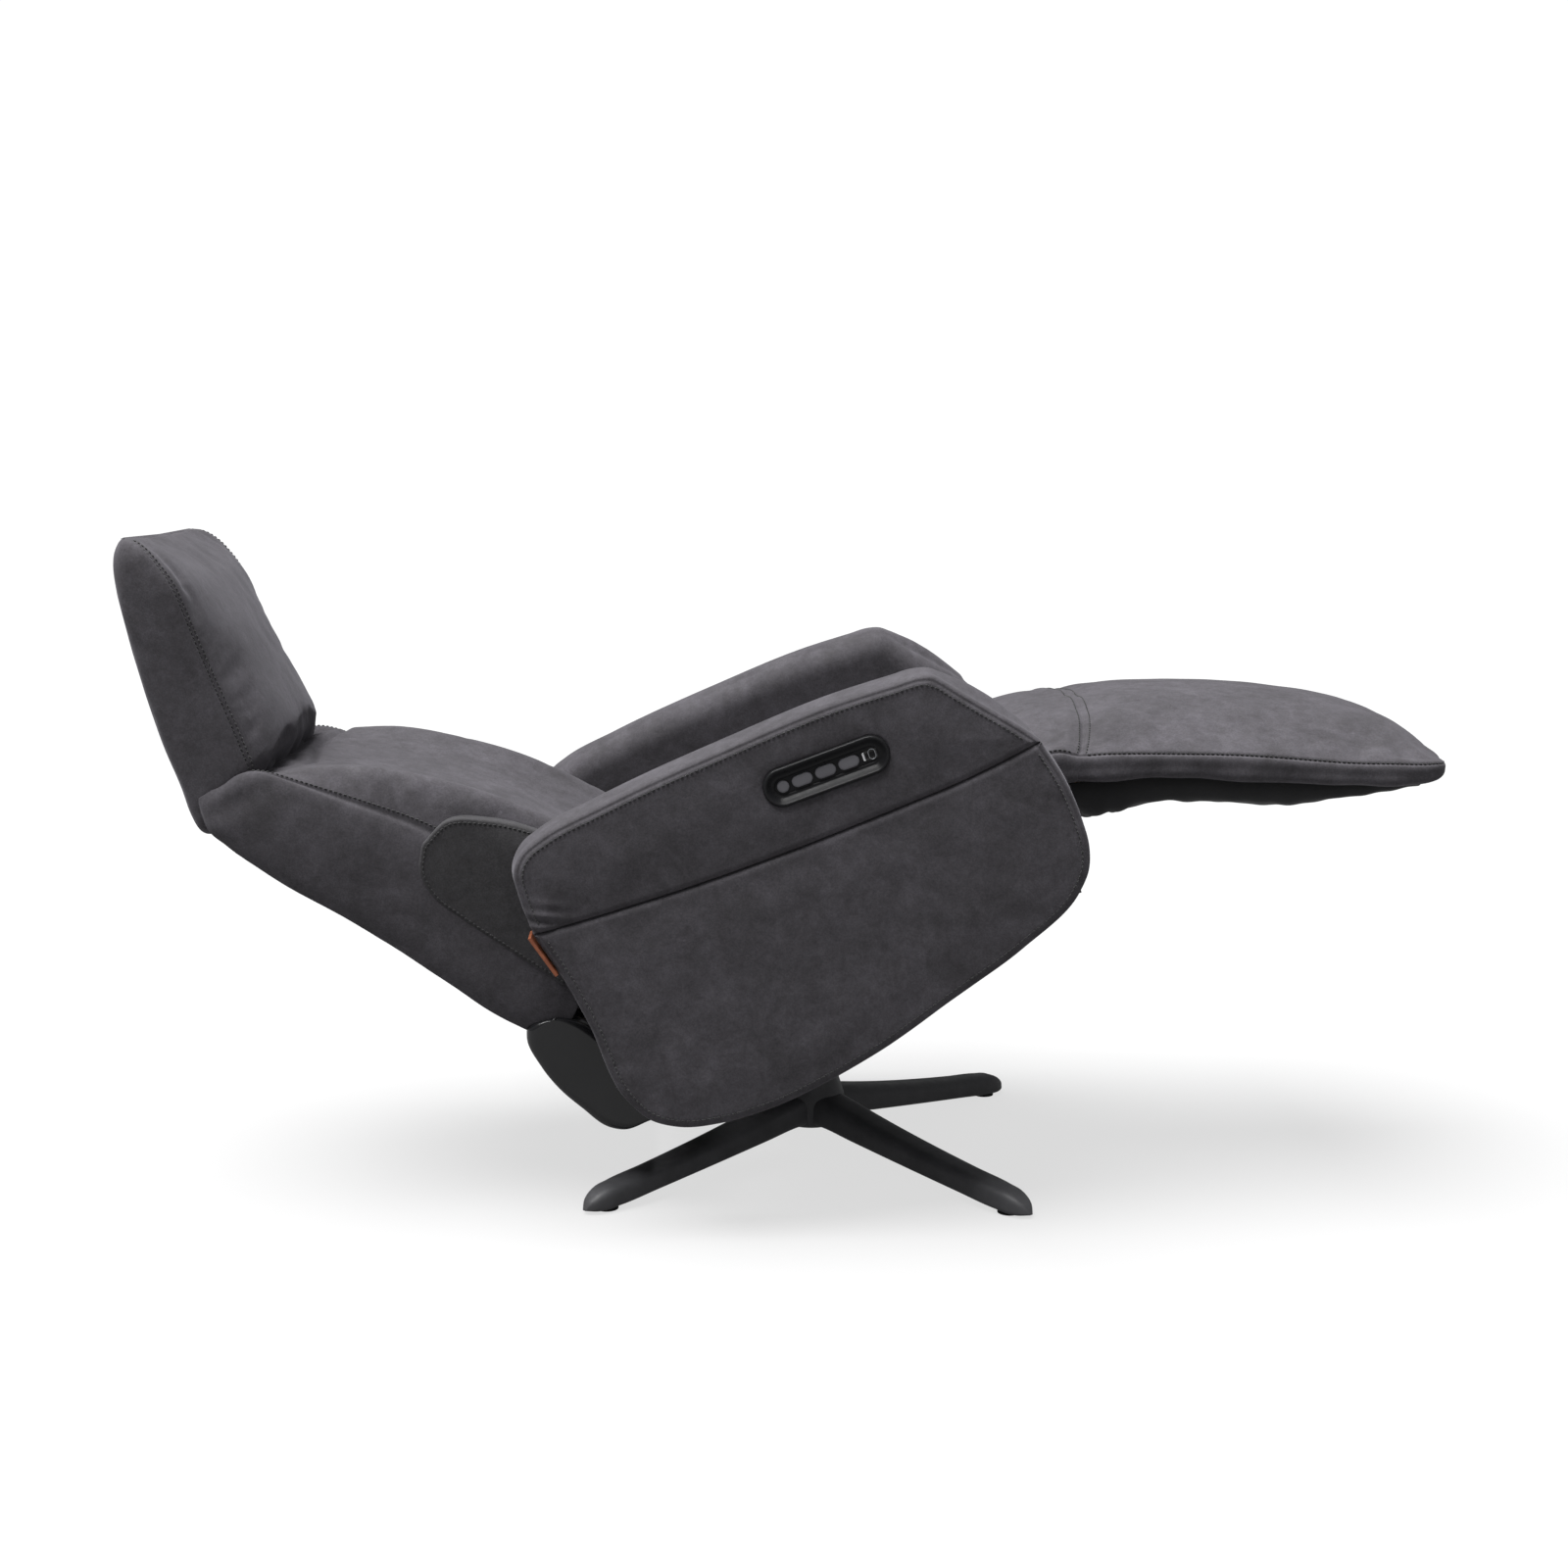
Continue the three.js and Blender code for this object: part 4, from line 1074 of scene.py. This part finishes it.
def make_head():
    """Head pillow: slightly raised top corners, double-stitched side seams, pinched where it folds."""
    grid, side, t, columns = lofted(HEAD_TABLE, 230, head_ring, 84, near_rows=(0.6, 9.4),
                                    near_cols=(HEAD_SEAM,))
    width = grid[..., 2] * side
    corner = smooth_step((t[:, None] - 5.5) / 3) * np.exp(-((np.abs(width) - 158) / 52) ** 2)
    grid[..., 1] += 3 * corner
    points = upright(grid, side, HEAD)
    up = facing_out(points)
    cols = mirrored(columns)
    seam = cols - HEAD_SEAM
    p, y = grid[..., 1], width
    front = smooth_step(-seam / 0.4)
    lift = 1.2 * ripple(p, y + 50 * cols, 41, low=0.014, high=0.05)
    lift += 0.45 * ripple(p, y + 50 * cols, 42)
    lift += dent(seam, 0.08, SEAM_DEPTH)
    foot = np.exp(-(t[:, None] / 1.9) ** 2)
    lift += foot * front * 2.2 * np.sin(y / 15 + 1.3 * np.sin(y / 37))
    lift += foot * (1 - front) * 1.8 * np.sin(grid[..., 0] / 6 + y / 20)
    points = points + up * lift[..., None] * MM
    pillow = mesh_piece("head_pillow", points, NUBUCK)
    ends = smooth_step((10 - t[:, None]) / 0.8) * smooth_step(t[:, None] / 0.5)
    free = np.maximum(front, 0.4) * ends
    settle(pillow, points, held_share(free, seam))
    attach(pillow, "headrest")
    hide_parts("headrest_front_pad", "headrest_rear_pad")
    middle = points.reshape(-1, 3).mean(0)
    lines = [outward(along_cover(points, t, columns, column, 1.9, 9.0, 400, sign), middle)
             for sign in (1, -1) for column in (2.87, 3.03)]
    thread = stitches("head_stitching", lines, THREAD)
    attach(thread, "headrest")


NECK_FRONT, NECK_REAR = (-40, 503), (-108, 530)
NECK_HALF = 210                  # half the roll's length across the chair
NECK_LONG, NECK_SHORT = 47, 17   # the roll's two half widths


def make_neck():
    """The gathered cloth between backrest and head pillow: a flat roll, creased lengthways."""
    front, rear = np.array(NECK_FRONT), np.array(NECK_REAR)
    axis = (rear - front) / np.linalg.norm(rear - front)
    across = np.array((-axis[1], axis[0]))
    middle = (front + rear) / 2
    c = np.arange(96) * 2 * math.pi / 96
    ends = (-NECK_HALF, NECK_HALF)
    y = spread(170, *ends, near=ends, tight=12, extra=4)[:, None]
    shrink = np.sqrt(np.maximum(1 - (np.abs(y) / NECK_HALF) ** 8, 0))
    long = NECK_LONG * np.cos(c)[None] * shrink
    short = NECK_SHORT * np.sin(c)[None] * shrink
    drift = c[None] + 0.25 * np.sin(y / 60)
    crease = dent(np.sin((drift - 1.9) / 2) * 60, 5, 5) + dent(np.sin((drift - 5.2) / 2) * 60, 5, 4)
    short = short * (1 + crease / NECK_SHORT) + 2.2 * np.sin(y / 11 + 1.5 * np.sin(y / 29)) * shrink
    q = middle[0] + long * axis[0] + short * across[0]
    p = middle[1] + long * axis[1] + short * across[1]
    grid = np.dstack([q, 0 * q + y, p])
    roll = mesh_piece("neck_gather", placed(grid, BACK), NUBUCK)
    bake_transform(roll)


# ---- rear cover, tab and base ----------------------------------------------------------
def make_rear_cover():
    """Gloss moulded cover behind the seat: a thin wall drawn across the chair along its side
    profile, closed by deep rounded cheeks."""
    outer = path([(-366, 100), (-384, 102), (-395, 98), (-400, 88), (-397, 46), (-386, 12),
                  (-370, -18), (-346, -54), (-332, -62), (-300, -62)], 70)
    inner = path([(-352, 98), (-330, 84), (-306, 52), (-290, 16), (-281, -14), (-277, -42),
                  (-284, -56)], 70)
    roll, wall, half = 16.0, 6.0, 236.0
    turn = np.linspace(0, math.pi / 2, 14)
    side = half - roll * (1 - np.sin(turn))[::-1]
    middle = spread(80, -side[-1] + 0.5, side[-1] - 0.5, near=(-216, 216), tight=4, extra=8)
    y = np.r_[-half, -side, middle, side[::-1], half]
    inset = roll * (1 - np.sqrt(1 - np.clip((np.abs(y) - half + roll) / roll, 0, 1) ** 2))
    depth = np.linalg.norm(inner - outer, axis=1)
    across = (inner - outer) / np.maximum(depth, 1e-6)[:, None]
    cheek = smooth_step((np.abs(y) - 213) / 3)[:, None]
    thick = np.minimum(wall + (depth[None] - wall) * cheek, depth[None])
    push = np.minimum(inset[:, None], depth[None] * 0.42)
    push[[0, -1]] = depth / 2
    out = outer[None] + across[None] * push[..., None]
    back = outer[None] + across[None] * (thick - push * cheek)[..., None]
    xz = np.concatenate([out, back[:, ::-1]], 1)
    grid = np.dstack([xz[..., 0], np.repeat(y[:, None], 140, 1), xz[..., 1]])
    cover = mesh_piece("rear_gloss_cover", placed(grid, SEAT), GLOSS_BLACK, caps=False)
    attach(cover, "seat_body")
    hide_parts("rear_cover")


# ---- control panel ---------------------------------------------------------------------
BUTTONS = (("power_button", -6, 7.0, 7.0), ("rocker_1", 17, 12.2, 6.8),
           ("rocker_2", 45, 12.2, 6.8), ("rocker_3", 73, 12.2, 6.8))


STADIUM_STEPS = 160


def stadium(half, r):
    """Outline of a bar with fully rounded ends, evenly stepped, as (x, z)."""
    a = np.linspace(0, 2 * math.pi, 41)[:-1]
    ends = np.stack([np.cos(a) * r + np.sign(np.cos(a)) * (half - r), np.sin(a) * r], -1)
    return even_steps(np.vstack([ends, ends[:1]]), STADIUM_STEPS, False)


def dished(name, x, half, r, profile, material, tall=False):
    """A shape pressed from a round-ended outline, lying or tall: rings set in by the
    profile's first value and at its second value's distance from the chair's middle."""
    rings = []
    for inset, y in profile:
        ring = stadium(half - inset, max(r - inset, 0.02))
        if tall:
            ring = ring[:, ::-1]
        rings.append(np.stack([x + ring[:, 0], np.full(len(ring), -y), PANEL_Z + ring[:, 1]], -1))
    return mesh_piece(name, placed(np.stack(rings), SEAT), material)


def make_controls():
    """Satin dished bezel, dark strip with one round and three oval buttons, a bright bar
    and the charging socket, all let into the right arm."""
    dish = path([(-1.0, 336), (-1.2, 348), (-0.6, 351), (0.8, 352.6), (2.2, 352.4),
                 (3.6, 350.8), (6.5, 347.6), (9.6, 345.2), (11.2, 344.9), (12.2, 344.2),
                 (12.4, 338)], 46)
    bezel = dished("control_rim", PANEL_X, PANEL_HALF, PANEL_R,
                   np.vstack([dish, [(12.4, 336)]]), DARK_PANEL)
    strip = dished("control_strip", PANEL_X, PANEL_HALF - 12.2, PANEL_R - 12.2,
                   [(0, 338), (0, 344.3), (0.3, 344.6), (6, 344.6), (9.2, 344.6)], DARK_PANEL)
    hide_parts("control_bezel")
    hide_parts("control_plate")
    for piece in (bezel, strip):
        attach(piece, "seat_body")
    for body, x, half, r in BUTTONS:
        profile = [(0, 342), (0, 345.8), (0.3, 346.6), (1.0, 347.0), (3.0, 347.2),
                   (r - 0.1, 347.3)]
        key = dished(f"{body}_cap", x, half, r, profile, BUTTON_GREY)
        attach(key, body)
        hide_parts(body)
    bar = dished("bright_bar", 91, 5.4, 1.6, [(0, 343), (0, 345.6), (0.6, 346.2),
                                              (1.5, 346.3)], CHROME, tall=True)
    socket = dished("socket_ring", 101, 6.4, 4.4, [(0, 343), (0, 345.0), (0.4, 345.3),
                                                   (0.9, 345.2), (1.1, 341)], STEEL, tall=True)
    for piece in (bar, socket):
        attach(piece, "seat_body")


STAR_REACH = 380.0
STAR_TURN = 4.4                  # degrees that the star stands off the chair's diagonals


def make_star():
    """Swivel base: four arms drawn from a round hub, each section a soft-cornered
    trapezium that narrows and drops towards its foot."""
    t = np.r_[np.linspace(0, 0.94, 60), 0.94 + 0.06 * np.sin(np.linspace(0, math.pi / 2, 16))[1:]]
    r = 20 + t * (STAR_REACH - 20)
    top = curve(r, [20, 46, 100, 280, 335, 356, 369, 377, 380],
                [83, 78, 67, 38.5, 32, 28, 21, 13, 7])
    low = curve(r, [20, 46, 100, 280, 335, 365, 380], [40, 40, 33, 11, 4.5, 2.5, 5])
    half = curve(r, [20, 46, 100, 280, 335, 360, 373, 380], [30, 29, 27, 21.5, 19.5, 16, 10, 3])
    c = np.arange(48) * 2 * math.pi / 48
    ca, sa = np.cos(c), np.sin(c)
    square = lambda v, n: np.sign(v) * np.abs(v) ** n
    w = half[:, None] * square(ca, 0.55)[None] * (1 - 0.16 * sa)[None]
    z = (top + low)[:, None] / 2 + (top - low)[:, None] / 2 * square(sa, 0.55)[None]
    for i in range(4):
        a = math.radians(45 + 90 * i - STAR_TURN)
        x = SWIVEL_X + r[:, None] * math.cos(a) - w * math.sin(a)
        y = r[:, None] * math.sin(a) + w * math.cos(a)
        arm = mesh_piece(f"star_arm_{i + 1}", np.dstack([x, y, z]) * MM, BASE_BLACK)
        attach(arm, "base")
        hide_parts(f"base_arm_{i + 1}")


def make_hub():
    """Hub and column: one turned profile, flared where the arms run in."""
    profile = path([(0, 37), (36, 37), (44, 42), (46, 58), (44, 74), (40, 87), (36, 100),
                    (33, 120), (32, 150), (32, 171.5), (29, 172), (0, 172)], 110)
    c = np.arange(72) * 2 * math.pi / 72
    grid = np.dstack([SWIVEL_X + profile[:, :1] * np.cos(c), profile[:, :1] * np.sin(c),
                      np.repeat(profile[:, 1:], 72, 1)]) * MM
    hub = mesh_piece("star_hub", grid, BASE_BLACK, caps=False)
    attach(hub, "base")
    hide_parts("base_hub")


make_stage()
finish_cad_nodes()
make_arms()
make_seat()
make_under_cover()
make_back()
make_wings()
make_head()
make_neck()
make_rear_cover()
make_controls()
make_star()
make_hub()
